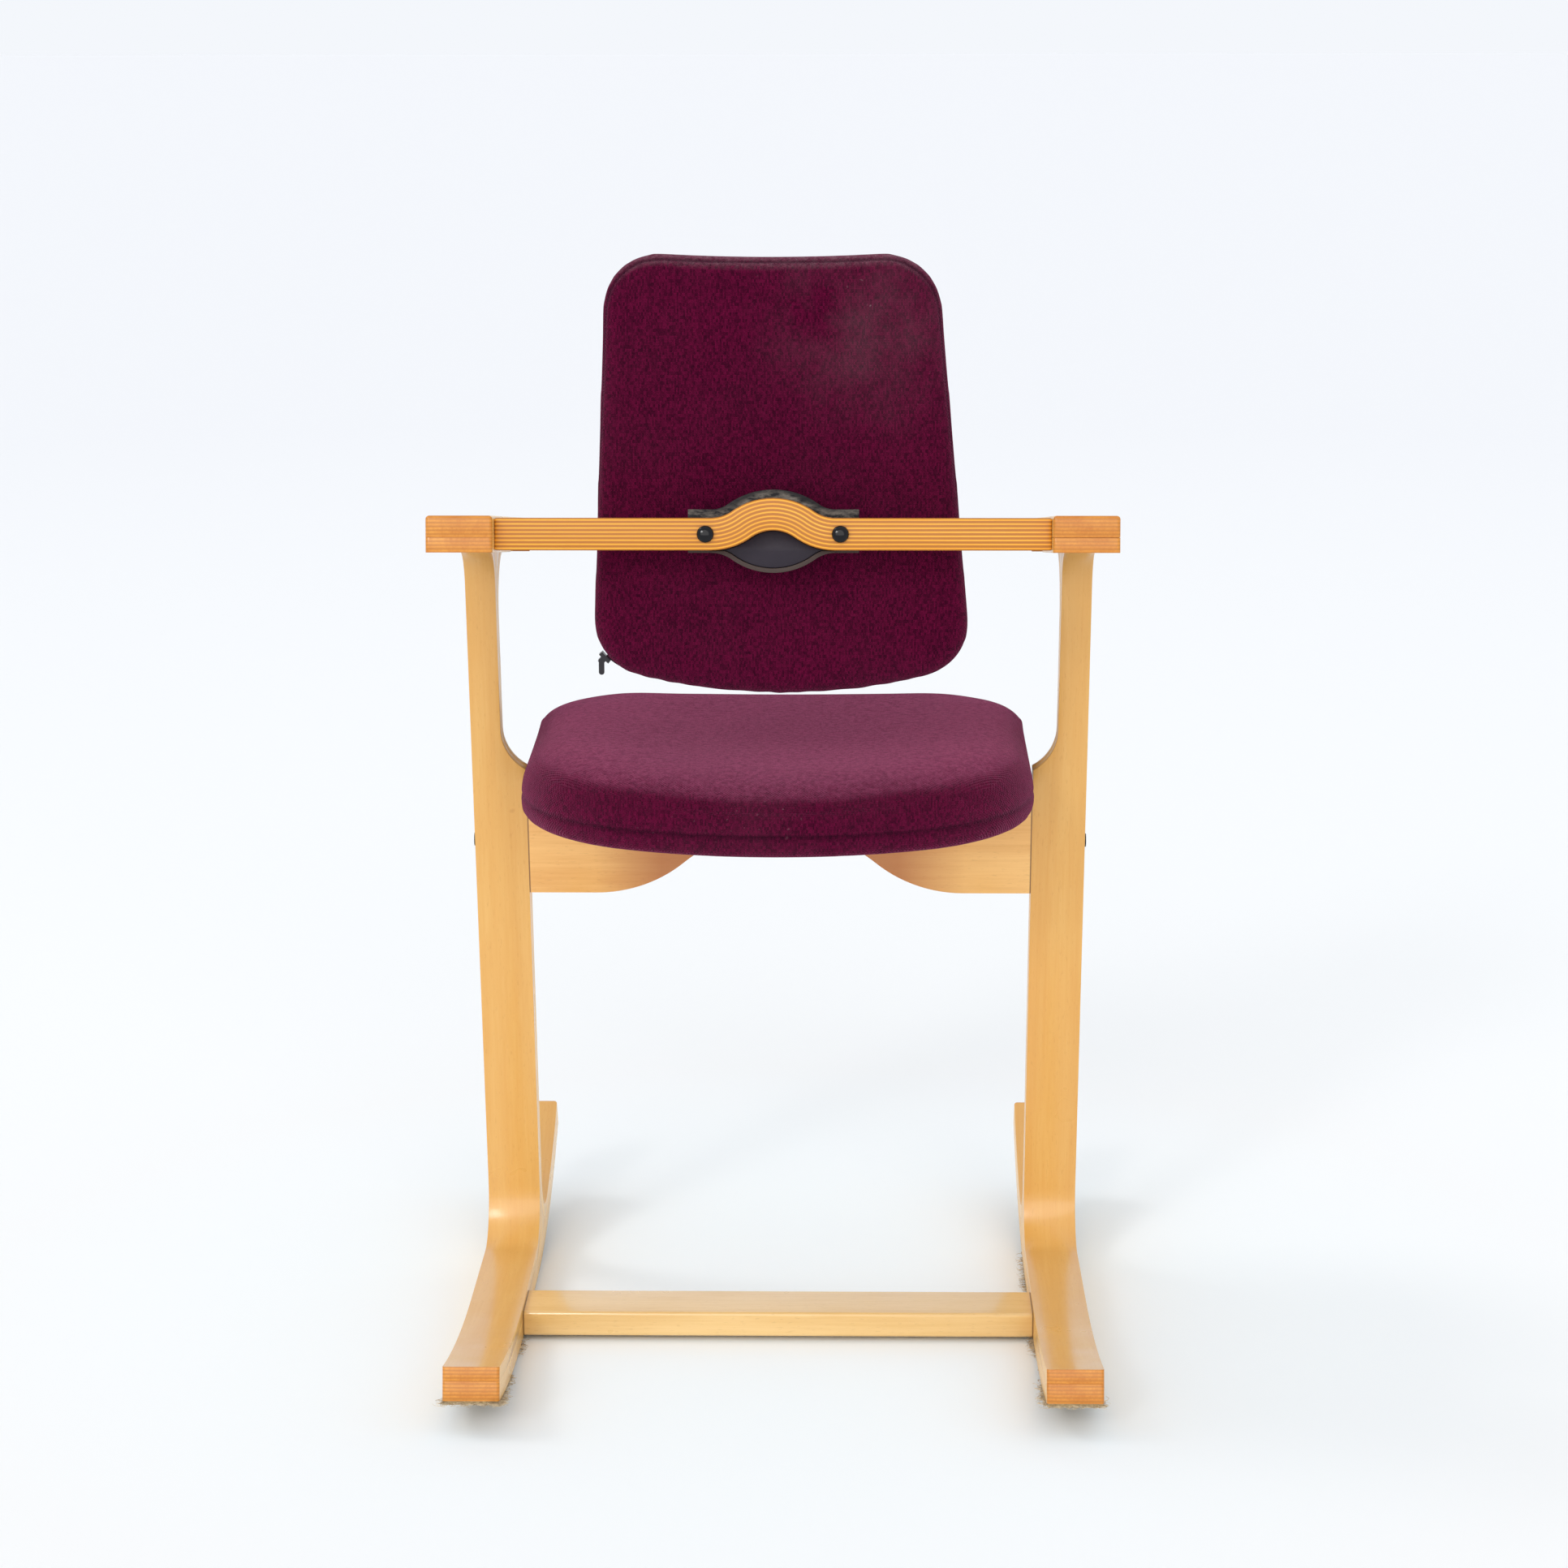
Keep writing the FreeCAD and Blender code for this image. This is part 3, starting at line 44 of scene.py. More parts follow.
# selecting, copying and shading
def clearSelection():
    if bpy.context.mode != "OBJECT":
        bpy.ops.object.mode_set(mode="OBJECT")
    bpy.ops.object.select_all(action="DESELECT")


def makeActive(piece):
    clearSelection()
    piece.select_set(True)
    bpy.context.view_layer.objects.active = piece


def editAll(piece):
    makeActive(piece)
    bpy.ops.object.mode_set(mode="EDIT")
    bpy.ops.mesh.select_all(action="SELECT")


def leaveEdit():
    bpy.ops.object.mode_set(mode="OBJECT")


def addObject(name, data):
    piece = bpy.data.objects.new(name, data)
    scene.collection.objects.link(piece)
    return piece


def newMeshPiece(name, verts, faces):
    mesh = bpy.data.meshes.new(name)
    mesh.from_pydata(verts, [], faces)
    return addObject(name, mesh)


def cleanCopy(nodeName, pieceName):  # a node's mesh with its triangles joined into whole faces
    piece = addObject(pieceName, nodes[nodeName].data.copy())
    editAll(piece)
    bpy.ops.mesh.customdata_custom_splitnormals_clear()
    bpy.ops.mesh.remove_doubles(threshold=0.00001)
    bpy.ops.mesh.dissolve_limited(angle_limit=math.radians(0.3))
    leaveEdit()
    piece.data.materials.clear()
    return piece


def addModifier(piece, kind, **settings):
    makeActive(piece)
    modifier = piece.modifiers.new(kind.title(), kind)
    for key, value in settings.items():
        setattr(modifier, key, value)
    bpy.ops.object.modifier_apply(modifier=modifier.name)


def cutAcross(piece, low, high, count):  # even cuts between two places along X
    editAll(piece)
    for cut in range(1, count):
        bpy.ops.mesh.select_all(action="SELECT")
        bpy.ops.mesh.bisect(plane_co=(low + (high - low) * cut / count, 0, 0), plane_no=(1, 0, 0))
    leaveEdit()


def easeEdges(piece, width, segments=2, angle=35):
    addModifier(piece, "BEVEL", width=width, segments=segments, limit_method="ANGLE",
                angle_limit=math.radians(angle), use_clamp_overlap=True)


def smoothByAngle(piece, angle=32):
    makeActive(piece)
    bpy.ops.object.shade_smooth_by_angle(angle=math.radians(angle))


def pointsOf(mesh):
    flat = np.empty(len(mesh.vertices) * 3)
    mesh.vertices.foreach_get("co", flat)
    return flat.reshape(-1, 3)


def normalsOf(mesh):
    return np.array([vertex.normal for vertex in mesh.vertices])


def setPoints(mesh, points):
    mesh.vertices.foreach_set("co", np.asarray(points, dtype=np.float32).ravel())
    mesh.update()


def setAttribute(mesh, name, values, kind="FLOAT"):
    old = mesh.attributes.get(name)
    if old:
        mesh.attributes.remove(old)
    layer = mesh.attributes.new(name, kind, "POINT")
    field = "vector" if kind == "FLOAT_VECTOR" else "value"
    layer.data.foreach_set(field, np.asarray(values, dtype=np.float32).ravel())


def halfSpan(nodeName):  # how far a node reaches to either side
    return float(np.abs(pointsOf(nodes[nodeName].data)[:, 0]).max())


def dress(piece, body, slot, *replaced):
    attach(piece, body)
    if replaced:
        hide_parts(*replaced)


# node trees
def addNode(tree, kind, inputs=None, **settings):
    made = tree.nodes.new(kind)
    for key, value in settings.items():
        setattr(made, key, value)
    for key, value in (inputs or {}).items():
        if isinstance(value, bpy.types.NodeSocket):
            tree.links.new(value, made.inputs[key])
        else:
            made.inputs[key].default_value = value
    return made


def calc(tree, operation, first, second=0.0):
    return addNode(tree, "ShaderNodeMath", {0: first, 1: second}, operation=operation).outputs[0]


def plus(tree, first, second):
    return calc(tree, "ADD", first, second)


def minus(tree, first, second):
    return calc(tree, "SUBTRACT", first, second)


def times(tree, first, second):
    return calc(tree, "MULTIPLY", first, second)


def stretched(tree, vector, shares):
    return addNode(tree, "ShaderNodeVectorMath", {0: vector, 1: shares}, operation="MULTIPLY").outputs[0]


def ownPlace(tree):  # the object's own coordinates
    return addNode(tree, "ShaderNodeTexCoord").outputs["Object"]


def axesOf(tree, vector):
    return addNode(tree, "ShaderNodeSeparateXYZ", {0: vector}).outputs


def mixColours(tree, factor, first, second, blend="MIX"):
    inputs = {0: factor, 6: first, 7: second}
    return addNode(tree, "ShaderNodeMix", inputs, data_type="RGBA", blend_type=blend).outputs[2]


def spread(tree, value, low, high, toLow=0.0, toHigh=1.0):  # a value range opened out or narrowed
    inputs = {"Value": value, "From Min": low, "From Max": high, "To Min": toLow, "To Max": toHigh}
    return addNode(tree, "ShaderNodeMapRange", inputs, clamp=True).outputs[0]


def noise(tree, vector, scale, detail=3.0, roughness=0.55):
    inputs = {"Vector": vector, "Scale": scale, "Detail": detail, "Roughness": roughness}
    return addNode(tree, "ShaderNodeTexNoise", inputs).outputs["Fac"]


def newGroup(name, inputs, outputs):  # a socket's kind follows from its value: none, a colour or a number
    group = bpy.data.node_groups.new(name, "ShaderNodeTree")
    kinds = {type(None): "Vector", tuple: "Color", float: "Float"}
    for label, value in inputs.items():
        kind = "NodeSocket" + kinds[type(value)]
        socket = group.interface.new_socket(label, in_out="INPUT", socket_type=kind)
        if value is not None:
            socket.default_value = value
    for label in outputs:
        kind = "NodeSocketColor" if label == "Color" else "NodeSocketFloat"
        group.interface.new_socket(label, in_out="OUTPUT", socket_type=kind)
    return group, group.nodes.new("NodeGroupInput").outputs, group.nodes.new("NodeGroupOutput").inputs


def useGroup(tree, group, inputs):
    return addNode(tree, "ShaderNodeGroup", inputs, node_tree=group).outputs


def newMaterial(name, sockets):
    material = bpy.data.materials.new(name)
    material.use_nodes = True
    tree = material.node_tree
    tree.nodes.clear()
    shader = addNode(tree, "ShaderNodeBsdfPrincipled", sockets)
    addNode(tree, "ShaderNodeOutputMaterial", {0: shader.outputs[0]})
    return material, tree, shader


def finishSurface(tree, shader, colour, rough, height, strength, distance):
    bump = addNode(tree, "ShaderNodeBump", {"Height": height, "Strength": strength, "Distance": distance})
    tree.links.new(bump.outputs[0], shader.inputs["Normal"])
    tree.links.new(colour, shader.inputs["Base Color"])
    if rough is not None:
        tree.links.new(rough, shader.inputs["Roughness"])


# grain of beech: long soft streaks, short dark flecks and a few pores; the vector is (across, along, depth)
grainLook = {
    "longShare": 0.035, "shortShare": 0.16, "wide": 55.0, "fine": 420.0, "patch": 7.0, "dash": 900.0,
    "pore": 50.0, "wideWeight": 0.62, "fineWeight": 0.38, "patchWeight": 0.35, "fleckWeight": 0.20,
    "poreWeight": 0.40, "darken": (0.55, 0.45, 0.35, 1),
}


def makeGrainGroup():
    group, given, result = newGroup(
        "beechGrain",
        {"Vector": None, "Light": (0.8, 0.5, 0.2, 1), "Dark": (0.5, 0.3, 0.1, 1),
         "Streaks": 1.0, "Flecks": 1.0},
        ("Color", "Height"))
    longWay = stretched(group, given["Vector"], (1.0, grainLook["longShare"], 1.0))
    shortWay = stretched(group, given["Vector"], (1.0, grainLook["shortShare"], 1.0))
    wide = noise(group, longWay, grainLook["wide"], 3.0, 0.5)
    fine = noise(group, longWay, grainLook["fine"], 2.0, 0.6)
    patch = noise(group, given["Vector"], grainLook["patch"], 2.0, 0.5)
    dash = noise(group, shortWay, grainLook["dash"], 1.0, 0.4)
    wideTone = times(group, wide, grainLook["wideWeight"])
    streak = plus(group, wideTone, times(group, fine, grainLook["fineWeight"]))
    streak = plus(group, streak, times(group, minus(group, patch, 0.5), grainLook["patchWeight"]))
    tone = times(group, spread(group, streak, 0.36, 0.66), given["Streaks"])
    base = mixColours(group, tone, given["Light"], given["Dark"])
    fleck = times(group, spread(group, dash, 0.64, 0.74), given["Flecks"])
    pore = spread(group, noise(group, given["Vector"], grainLook["pore"], 1.0, 0.3), 0.81, 0.84)
    fleck = times(group, fleck, grainLook["fleckWeight"])
    marks = calc(group, "MAXIMUM", fleck, times(group, pore, grainLook["poreWeight"]))
    dark = mixColours(group, 1.0, given["Dark"], grainLook["darken"], "MULTIPLY")
    group.links.new(mixColours(group, marks, base, dark), result["Color"])
    group.links.new(minus(group, fine, times(group, marks, 0.8)), result["Height"])
    return group


# glue lines and veneer tones through a lamination, from the depth in metres
plyLook = {"waver": 130.0, "shift": 0.00035, "softEdge": 2.2}


def makePlyGroup():
    group, given, result = newGroup(
        "veneerLayers", {"Vector": None, "Depth": 0.0, "Pitch": 0.0015, "Line": 0.2}, ("Glue", "Tone"))
    wobble = noise(group, stretched(group, given["Vector"], (1.0, 0.1, 1.0)), plyLook["waver"], 2.0)
    shift = times(group, minus(group, wobble, 0.5), plyLook["shift"])
    layer = calc(group, "DIVIDE", plus(group, given["Depth"], shift), given["Pitch"])
    within = calc(group, "FRACT", plus(group, layer, 0.5))
    near = calc(group, "ABSOLUTE", minus(group, within, 0.5))
    half = times(group, given["Line"], 0.5)
    line = spread(group, near, half, times(group, half, plyLook["softEdge"]), 1.0, 0.0)
    cell = calc(group, "FLOOR", layer)
    tone = addNode(group, "ShaderNodeTexWhiteNoise", {"W": cell}, noise_dimensions="1D").outputs["Value"]
    group.links.new(line, result["Glue"])
    group.links.new(tone, result["Tone"])
    return group


# dry dust and lint: a soft veil and small pale specks
dustLook = {"cloud": 9.0, "grit": 330.0, "gather": 17.0}


def makeDustGroup():
    group, given, result = newGroup("dryDust", {"Vector": None, "Veil": 0.2, "Specks": 0.2}, ("Mask",))
    cloud = spread(group, noise(group, given["Vector"], dustLook["cloud"], 5.0, 0.65), 0.42, 0.78)
    grit = spread(group, noise(group, given["Vector"], dustLook["grit"], 1.0, 0.3), 0.72, 0.82)
    gather = spread(group, noise(group, given["Vector"], dustLook["gather"], 2.0, 0.5), 0.45, 0.7)
    specks = times(group, times(group, grit, gather), given["Specks"])
    veil = times(group, cloud, given["Veil"])
    group.links.new(calc(group, "MINIMUM", plus(group, veil, specks), 1.0), result["Mask"])
    return group


# plain weave: threads passing over and under each other
weaveLook = {"drift": 60.0, "turn": 0.0016}


def makeWeaveGroup():
    group, given, result = newGroup("plainWeave", {"Vector": None, "Threads": 900.0}, ("Height", "Thread"))
    drift = noise(group, given["Vector"], weaveLook["drift"], 2.0)
    turned = times(group, minus(group, drift, 0.5), weaveLook["turn"])
    parts = axesOf(group, given["Vector"])
    across = times(group, plus(group, parts[0], turned), given["Threads"])
    along = times(group, plus(group, parts[1], turned), given["Threads"])
    warp = calc(group, "SINE", times(group, calc(group, "FRACT", across), math.pi))
    weft = calc(group, "SINE", times(group, calc(group, "FRACT", along), math.pi))
    column = calc(group, "FLOOR", across)
    sums = plus(group, column, calc(group, "FLOOR", along))
    over = times(group, calc(group, "FRACT", times(group, sums, 0.5)), 2.0)
    top = addNode(group, "ShaderNodeMix", {0: over, 2: warp, 3: weft}).outputs[0]
    row = calc(group, "FLOOR", times(group, along, 0.5))
    crossing = addNode(group, "ShaderNodeCombineXYZ", {0: column, 1: row}).outputs[0]
    tint = addNode(group, "ShaderNodeTexWhiteNoise", {"Vector": crossing}, noise_dimensions="2D")
    group.links.new(top, result["Height"])
    group.links.new(tint.outputs["Value"], result["Thread"])
    return group


grainGroup = makeGrainGroup()
plyGroup = makePlyGroup()
dustGroup = makeDustGroup()
weaveGroup = makeWeaveGroup()

beech = {
    "light": (0.96, 0.615, 0.192, 1),
    "dark": (0.88, 0.500, 0.128, 1),
    "endLight": (0.69, 0.285, 0.040, 1),
    "endDark": (0.53, 0.172, 0.020, 1),
    "glue": (0.42, 0.150, 0.022, 1),
    "smear": 16.0,
    "smooth": 0.26,
    "rough": 0.42,
    "gap": (0.10, 0.035, 0.012, 1),
    "gapWidth": 0.0014,
    # painted shade: the seat's shadow on the cross board, darkest towards the middle
    "shade": (0.40, 0.12, 0.03, 1),
    "shadeStart": 0.165,
    "shadeFull": 0.105,
}


# one builder for every beech finish: the ply pitch is 0 for solid wood
def makeBeech(name, light, dark, pitch=0.0, glueStrength=0.0, line=0.2, streaks=1.0, flecks=1.0,
              fromNode=False, joint=0.0, innerShade=0.0, coat=0.30, gloss=0.5):
    material, tree, shader = newMaterial(name, {
        "IOR": 1.5, "Specular IOR Level": gloss, "Coat Weight": coat, "Coat Roughness": 0.16})
    if fromNode:
        vector = ownPlace(tree)
    else:
        vector = addNode(tree, "ShaderNodeAttribute", attribute_name="grain").outputs["Vector"]
    grain = useGroup(tree, grainGroup, {
        "Vector": vector, "Light": light, "Dark": dark, "Streaks": streaks, "Flecks": flecks})
    colour = grain["Color"]
    if pitch:
        depth = axesOf(tree, vector)[2]
        plies = useGroup(tree, plyGroup, {"Vector": vector, "Depth": depth, "Pitch": pitch, "Line": line})
        colour = mixColours(tree, times(tree, plies["Tone"], 0.3), colour, dark)
        colour = mixColours(tree, times(tree, plies["Glue"], glueStrength), colour, beech["glue"])
    if joint:  # a dark line where the piece meets the leg, and painted shade towards the middle, where the seat above shadows the board
        along = calc(tree, "ABSOLUTE", axesOf(tree, vector)[1])
        shade = spread(tree, along, beech["shadeStart"], beech["shadeFull"], 0.0, innerShade)
        colour = mixColours(tree, shade, colour, beech["shade"])
        gap = spread(tree, along, joint - beech["gapWidth"], joint - beech["gapWidth"] * 0.5, 0.0, 0.8)
        colour = mixColours(tree, gap, colour, beech["gap"])
    smear = noise(tree, vector, beech["smear"], 3.0)
    rough = spread(tree, smear, 0.3, 0.7, beech["smooth"], beech["rough"])
    finishSurface(tree, shader, colour, rough, grain["Height"], 0.12, 0.0004)
    return material


beechSheet = makeBeech("beechSheet", beech["light"], beech["dark"], 0.0015, 0.45, 0.24)
beechEnd = makeBeech("beechEnd", beech["endLight"], beech["endDark"], 0.0030, 0.6, 0.3, 1.0, 0.4,
                     coat=0.15, gloss=0.35)
beechBar = makeBeech("beechBar", (0.92, 0.440, 0.046, 1), (0.83, 0.340, 0.028, 1), 0.00325, 1.0, 0.42,
                     coat=0.06, gloss=0.25)
beechSolid = makeBeech("beechSolid", (0.83, 0.475, 0.155, 1), (0.70, 0.350, 0.092, 1))
# innerShade paints the seat's shadow onto the board's middle
beechBoard = makeBeech("beechBoard", (0.84, 0.485, 0.166, 1), (0.71, 0.355, 0.098, 1),
                       joint=halfSpan("seat_cross_board"), innerShade=0.80)
beechStretcher = makeBeech("beechStretcher", (0.79, 0.530, 0.225, 1), (0.70, 0.430, 0.150, 1),
                           joint=halfSpan("floor_stretcher"), coat=0.70)
dowelWood = makeBeech("dowelWood", (0.80, 0.50, 0.20, 1), (0.66, 0.36, 0.11, 1), fromNode=True)
shellPly = makeBeech("shellPly", (0.66, 0.42, 0.20, 1), (0.50, 0.28, 0.11, 1), 0.0015, 0.6, 0.3,
                     fromNode=True)


# burgundy wool: woven melange with sheen, lint and a dusty veil towards one place; upward faces get a
# lighter colour, which is dust on the back's top edge and painted sheen on the seat's top
wool = {
    "dark": (0.030, 0.0006, 0.0100, 1), "light": (0.110, 0.0024, 0.0290, 1),
    "threadValleyShade": (0.018, 0.0006, 0.008, 1), "seam": (0.008, 0.0006, 0.005, 1),
    "dust": (0.22, 0.13, 0.15, 1), "sheenTint": (1.0, 0.29, 0.53, 1),
    "threads": 760.0, "melange": 760.0, "broad": 16.0, "mottle": 230.0, "dustElsewhere": 0.07,
}


def makeWool(name, sheen, dustCentre, dustReach, veil, specks, topDustAndSheen, topFrom, topDustSheenColour):
    material, tree, shader = newMaterial(name, {
        "Roughness": 0.95, "IOR": 1.35, "Specular IOR Level": 0.06, "Sheen Weight": sheen,
        "Sheen Roughness": 0.40, "Sheen Tint": wool["sheenTint"]})
    flat = addNode(tree, "ShaderNodeUVMap", uv_map="cloth").outputs[0]
    place = ownPlace(tree)
    weave = useGroup(tree, weaveGroup, {"Vector": flat, "Threads": wool["threads"]})
    melange = noise(tree, place, wool["melange"], 2.0, 0.7)
    broad = noise(tree, place, wool["broad"], 3.0, 0.55)
    tone = plus(tree, times(tree, weave["Thread"], 0.36), times(tree, melange, 0.64))
    tone = plus(tree, tone, times(tree, minus(tree, broad, 0.5), 0.14))
    colour = mixColours(tree, spread(tree, tone, 0.26, 0.74), wool["dark"], wool["light"])
    # painted shade: the valleys between the threads are darkened
    threadValleyShade = spread(tree, weave["Height"], 0.0, 0.5, 0.35, 0.0)
    colour = mixColours(tree, threadValleyShade, colour, wool["threadValleyShade"])
    away = addNode(tree, "ShaderNodeVectorMath", {0: place, 1: dustCentre}, operation="DISTANCE")
    nearby = spread(tree, away.outputs["Value"], dustReach, dustReach * 0.2)
    dust = useGroup(tree, dustGroup, {"Vector": place, "Veil": veil, "Specks": specks})
    share = plus(tree, times(tree, nearby, 1 - wool["dustElsewhere"]), wool["dustElsewhere"])
    worn = times(tree, dust["Mask"], share)
    facing = addNode(tree, "ShaderNodeNewGeometry").outputs["Normal"]
    # upward faces get a lighter, mottled colour: painted sheen on the seat's top, dust on the back's top
    # edge
    upward = spread(tree, axesOf(tree, facing)[2], topFrom, 1.0)
    mottle = noise(tree, place, wool["mottle"], 3.0, 0.7)
    mottle = spread(tree, mottle, 0.36, 0.64, 0.3, 1.3)
    topMottle = times(tree, spread(tree, melange, 0.35, 0.65, 0.5, 1.0), mottle)
    dustAndSheenOnTop = times(tree, times(tree, upward, topDustAndSheen), topMottle)
    colour = mixColours(tree, dustAndSheenOnTop, colour, topDustSheenColour)
    colour = mixColours(tree, worn, colour, wool["dust"])
    seam = addNode(tree, "ShaderNodeAttribute", attribute_name="seamLine").outputs["Fac"]
    colour = mixColours(tree, times(tree, seam, 0.75), colour, wool["seam"])
    fuzz = plus(tree, times(tree, weave["Height"], 0.7), times(tree, melange, 0.6))
    finishSurface(tree, shader, colour, None, fuzz, 0.7, 0.0007)
    return material


backWool = makeWool("backWool", 0.18, (0.080, -0.17, 0.905), 0.11, 0.22, 0.6, 0.55, 0.40,
                    (0.24, 0.135, 0.16, 1))
# the seat's lighter top colour is painted sheen where the wool faces up
seatWool = makeWool("seatWool", 0.34, (-0.04, -0.16, 0.50), 0.20, 0.05, 0.4, 1.0, 0.76,
                    (0.236, 0.042, 0.102, 1))


# moulded plastic and metal finishes read the object's own coordinates
def makeMoulded(name, colour, rough, dustColour, veil, specks):
    material, tree, shader = newMaterial(name, {"IOR": 1.46, "Specular IOR Level": 0.3})
    place = ownPlace(tree)
    grit = noise(tree, place, 700.0, 2.0)
    mask = useGroup(tree, dustGroup, {"Vector": place, "Veil": veil, "Specks": specks})["Mask"]
    darker = tuple(part * 0.7 for part in colour[:3]) + (1,)
    base = mixColours(tree, mask, mixColours(tree, grit, darker, colour), dustColour)
    clean = spread(tree, grit, 0.3, 0.7, rough - 0.05, rough + 0.06)
    dusty = plus(tree, clean, times(tree, mask, 0.3))
    finishSurface(tree, shader, base, dusty, grit, 0.18, 0.0003)
    return material


def makeMetal(name, colour, rough, metallic, gloss=0.5):
    sockets = {"Metallic": metallic, "IOR": 1.5, "Specular IOR Level": gloss}
    material, tree, shader = newMaterial(name, sockets)
    place = ownPlace(tree)
    drawn = noise(tree, stretched(tree, place, (1.0, 1.0, 0.15)), 480.0, 2.0)
    handled = noise(tree, place, 60.0, 3.0)
    darker = tuple(part * 0.75 for part in colour[:3]) + (1,)
    base = mixColours(tree, drawn, darker, colour)
    worn = spread(tree, handled, 0.3, 0.7, rough - 0.06, rough + 0.08)
    finishSurface(tree, shader, base, worn, drawn, 0.08, 0.0002)
    return material


platePlastic = makeMoulded("platePlastic", (0.015, 0.009, 0.020, 1), 0.45,
                           (0.05, 0.040, 0.055, 1), 0.25, 0.2)
blackSteel = makeMetal("blackSteel", (0.003, 0.003, 0.005, 1), 0.11, 0.0, 0.26)
zincSteel = makeMetal("zincSteel", (0.58, 0.58, 0.56, 1), 0.34, 1.0)
bushRubber = makeMoulded("bushRubber", (0.022, 0.021, 0.020, 1), 0.7, (0.09, 0.085, 0.08, 1), 0.2, 0.3)
zipMetal = makeMetal("zipMetal", (0.045, 0.042, 0.046, 1), 0.3, 0.9)


def makeFibre(name, light, dark, scale):
    sockets = {"Roughness": 0.95, "Specular IOR Level": 0.15, "Sheen Weight": 0.3}
    material, tree, shader = newMaterial(name, sockets)
    place = ownPlace(tree)
    matted = noise(tree, place, scale, 4.0, 0.7)
    colour = mixColours(tree, spread(tree, matted, 0.3, 0.7), dark, light)
    finishSurface(tree, shader, colour, None, matted, 0.7, 0.001)
    return material


feltStrip = makeFibre("feltStrip", (0.46, 0.33, 0.17, 1), (0.20, 0.13, 0.06, 1), 420.0)
strayFibre = makeFibre("strayFibre", (0.82, 0.66, 0.43, 1), (0.40, 0.275, 0.155, 1), 160.0)
zipCloth = makeFibre("zipCloth", (0.035, 0.006, 0.020, 1), (0.014, 0.002, 0.008, 1), 900.0)
print("materials:", len(bpy.data.materials))

# the side frame's line, seen from the side in metres, so that grain and veneers follow its bends
sideFrame = {
    "lean": 10.1, "foot": 0.1053, "sheet": 0.012, "strip": 0.003, "sole": 0.016, "cap": 0.0175,
    "bend": 0.042, "rearFlat": 0.075, "frontFlat": 0.060, "rearRocker": 1.120, "frontRocker": 0.511,
    "runnerHalf": 0.318, "slope": 8.2, "armRear": -0.242, "armHeight": 0.747, "armLength": 0.350,
    "edge": 0.0009, "endFacing": 0.3, "endReach": 0.02, "leftShift": 0.31,
}


def heading(angle):
    return np.array((math.cos(math.radians(angle)), math.sin(math.radians(angle))))


def arcPoints(centre, radius, first, last, count):
    return [centre + heading(first + (last - first) * step / count) * radius for step in range(count + 1)]


soleTop = sideFrame["strip"] + sideFrame["sole"]
sheetMid = soleTop + sideFrame["sheet"] / 2
sheetHalf = sideFrame["sheet"] / 2
legFront = heading(sideFrame["lean"])
armUp = heading(90 - sideFrame["slope"])
armForward = heading(-sideFrame["slope"])
armCorner = np.array((sideFrame["armRear"], sideFrame["armHeight"]))
legFoot = np.array((sideFrame["foot"], 0.0))
rearCentre = np.array((-sideFrame["rearFlat"], sideFrame["rearRocker"]))
frontCentre = np.array((sideFrame["frontFlat"], sideFrame["frontRocker"]))
rearShare = (sideFrame["runnerHalf"] - sideFrame["rearFlat"]) / sideFrame["rearRocker"]
frontShare = (sideFrame["runnerHalf"] - sideFrame["frontFlat"]) / sideFrame["frontRocker"]
rearTurn = math.degrees(math.asin(rearShare))
frontTurn = math.degrees(math.asin(frontShare))


def rearRun(height):  # from the rear end of the runner to its flat part
    return arcPoints(rearCentre, sideFrame["rearRocker"] - height, -90 - rearTurn, -90, 24)


def frontRun(height):  # from the flat part to the front end
    return arcPoints(frontCentre, sideFrame["frontRocker"] - height, -90, -90 + frontTurn, 24)


def bendUnderArm(depth):  # meeting of a line along the leg and a line under the armrest
    offset = sideFrame["cap"] + sideFrame["sheet"] + sideFrame["bend"]
    sides = np.array((legFront, armUp))
    return np.linalg.solve(sides, np.array((legFoot @ legFront + depth, armCorner @ armUp - offset)))


def rearSheetLine():
    radius = sideFrame["bend"] + sheetHalf
    low = soleTop + sideFrame["sheet"] + sideFrame["bend"]
    along = (low + sideFrame["bend"] * legFront[1]) / heading(90 + sideFrame["lean"])[1]
    lowBend = legFoot - legFront * sideFrame["bend"] + heading(90 + sideFrame["lean"]) * along
    highBend = bendUnderArm(-sideFrame["bend"])
    line = rearRun(sheetMid)
    line += arcPoints(lowBend, radius, -90, sideFrame["lean"], 14)
    line += arcPoints(highBend, radius, sideFrame["lean"], 90 - sideFrame["slope"], 14)
    line.append(armCorner - armUp * (sideFrame["cap"] + sheetHalf))
    return np.array(line)


def frontSheetLine():
    radius = sideFrame["bend"] + sheetHalf
    depth = 2 * sideFrame["sheet"] + sideFrame["bend"]
    start = legFoot + legFront * depth - frontCentre
    legUp = heading(90 + sideFrame["lean"])
    reach = sideFrame["frontRocker"] - soleTop - sideFrame["sheet"] - sideFrame["bend"]
    half = start @ legUp
    lowBend = frontCentre + start + legUp * (-half - math.sqrt(half ** 2 - start @ start + reach ** 2))
    highBend = bendUnderArm(depth)
    toward = lowBend - frontCentre
    downAngle = math.degrees(math.atan2(toward[1], toward[0]))
    line = arcPoints(frontCentre, sideFrame["frontRocker"] - sheetMid, -90 + frontTurn, downAngle, 20)
    line += arcPoints(lowBend, radius, downAngle, -180 + sideFrame["lean"], 14)
    line += arcPoints(highBend, radius, 180 + sideFrame["lean"], 90 - sideFrame["slope"], 14)
    line.append(armCorner + armForward * sideFrame["armLength"] - armUp * (sideFrame["cap"] + sheetHalf))
    return np.array(line)


def runnerLine(height):
    return np.array(rearRun(height) + frontRun(height))


def armLine():
    start = armCorner - armUp * sideFrame["cap"] / 2
    return np.array((start, start + armForward * sideFrame["armLength"]))


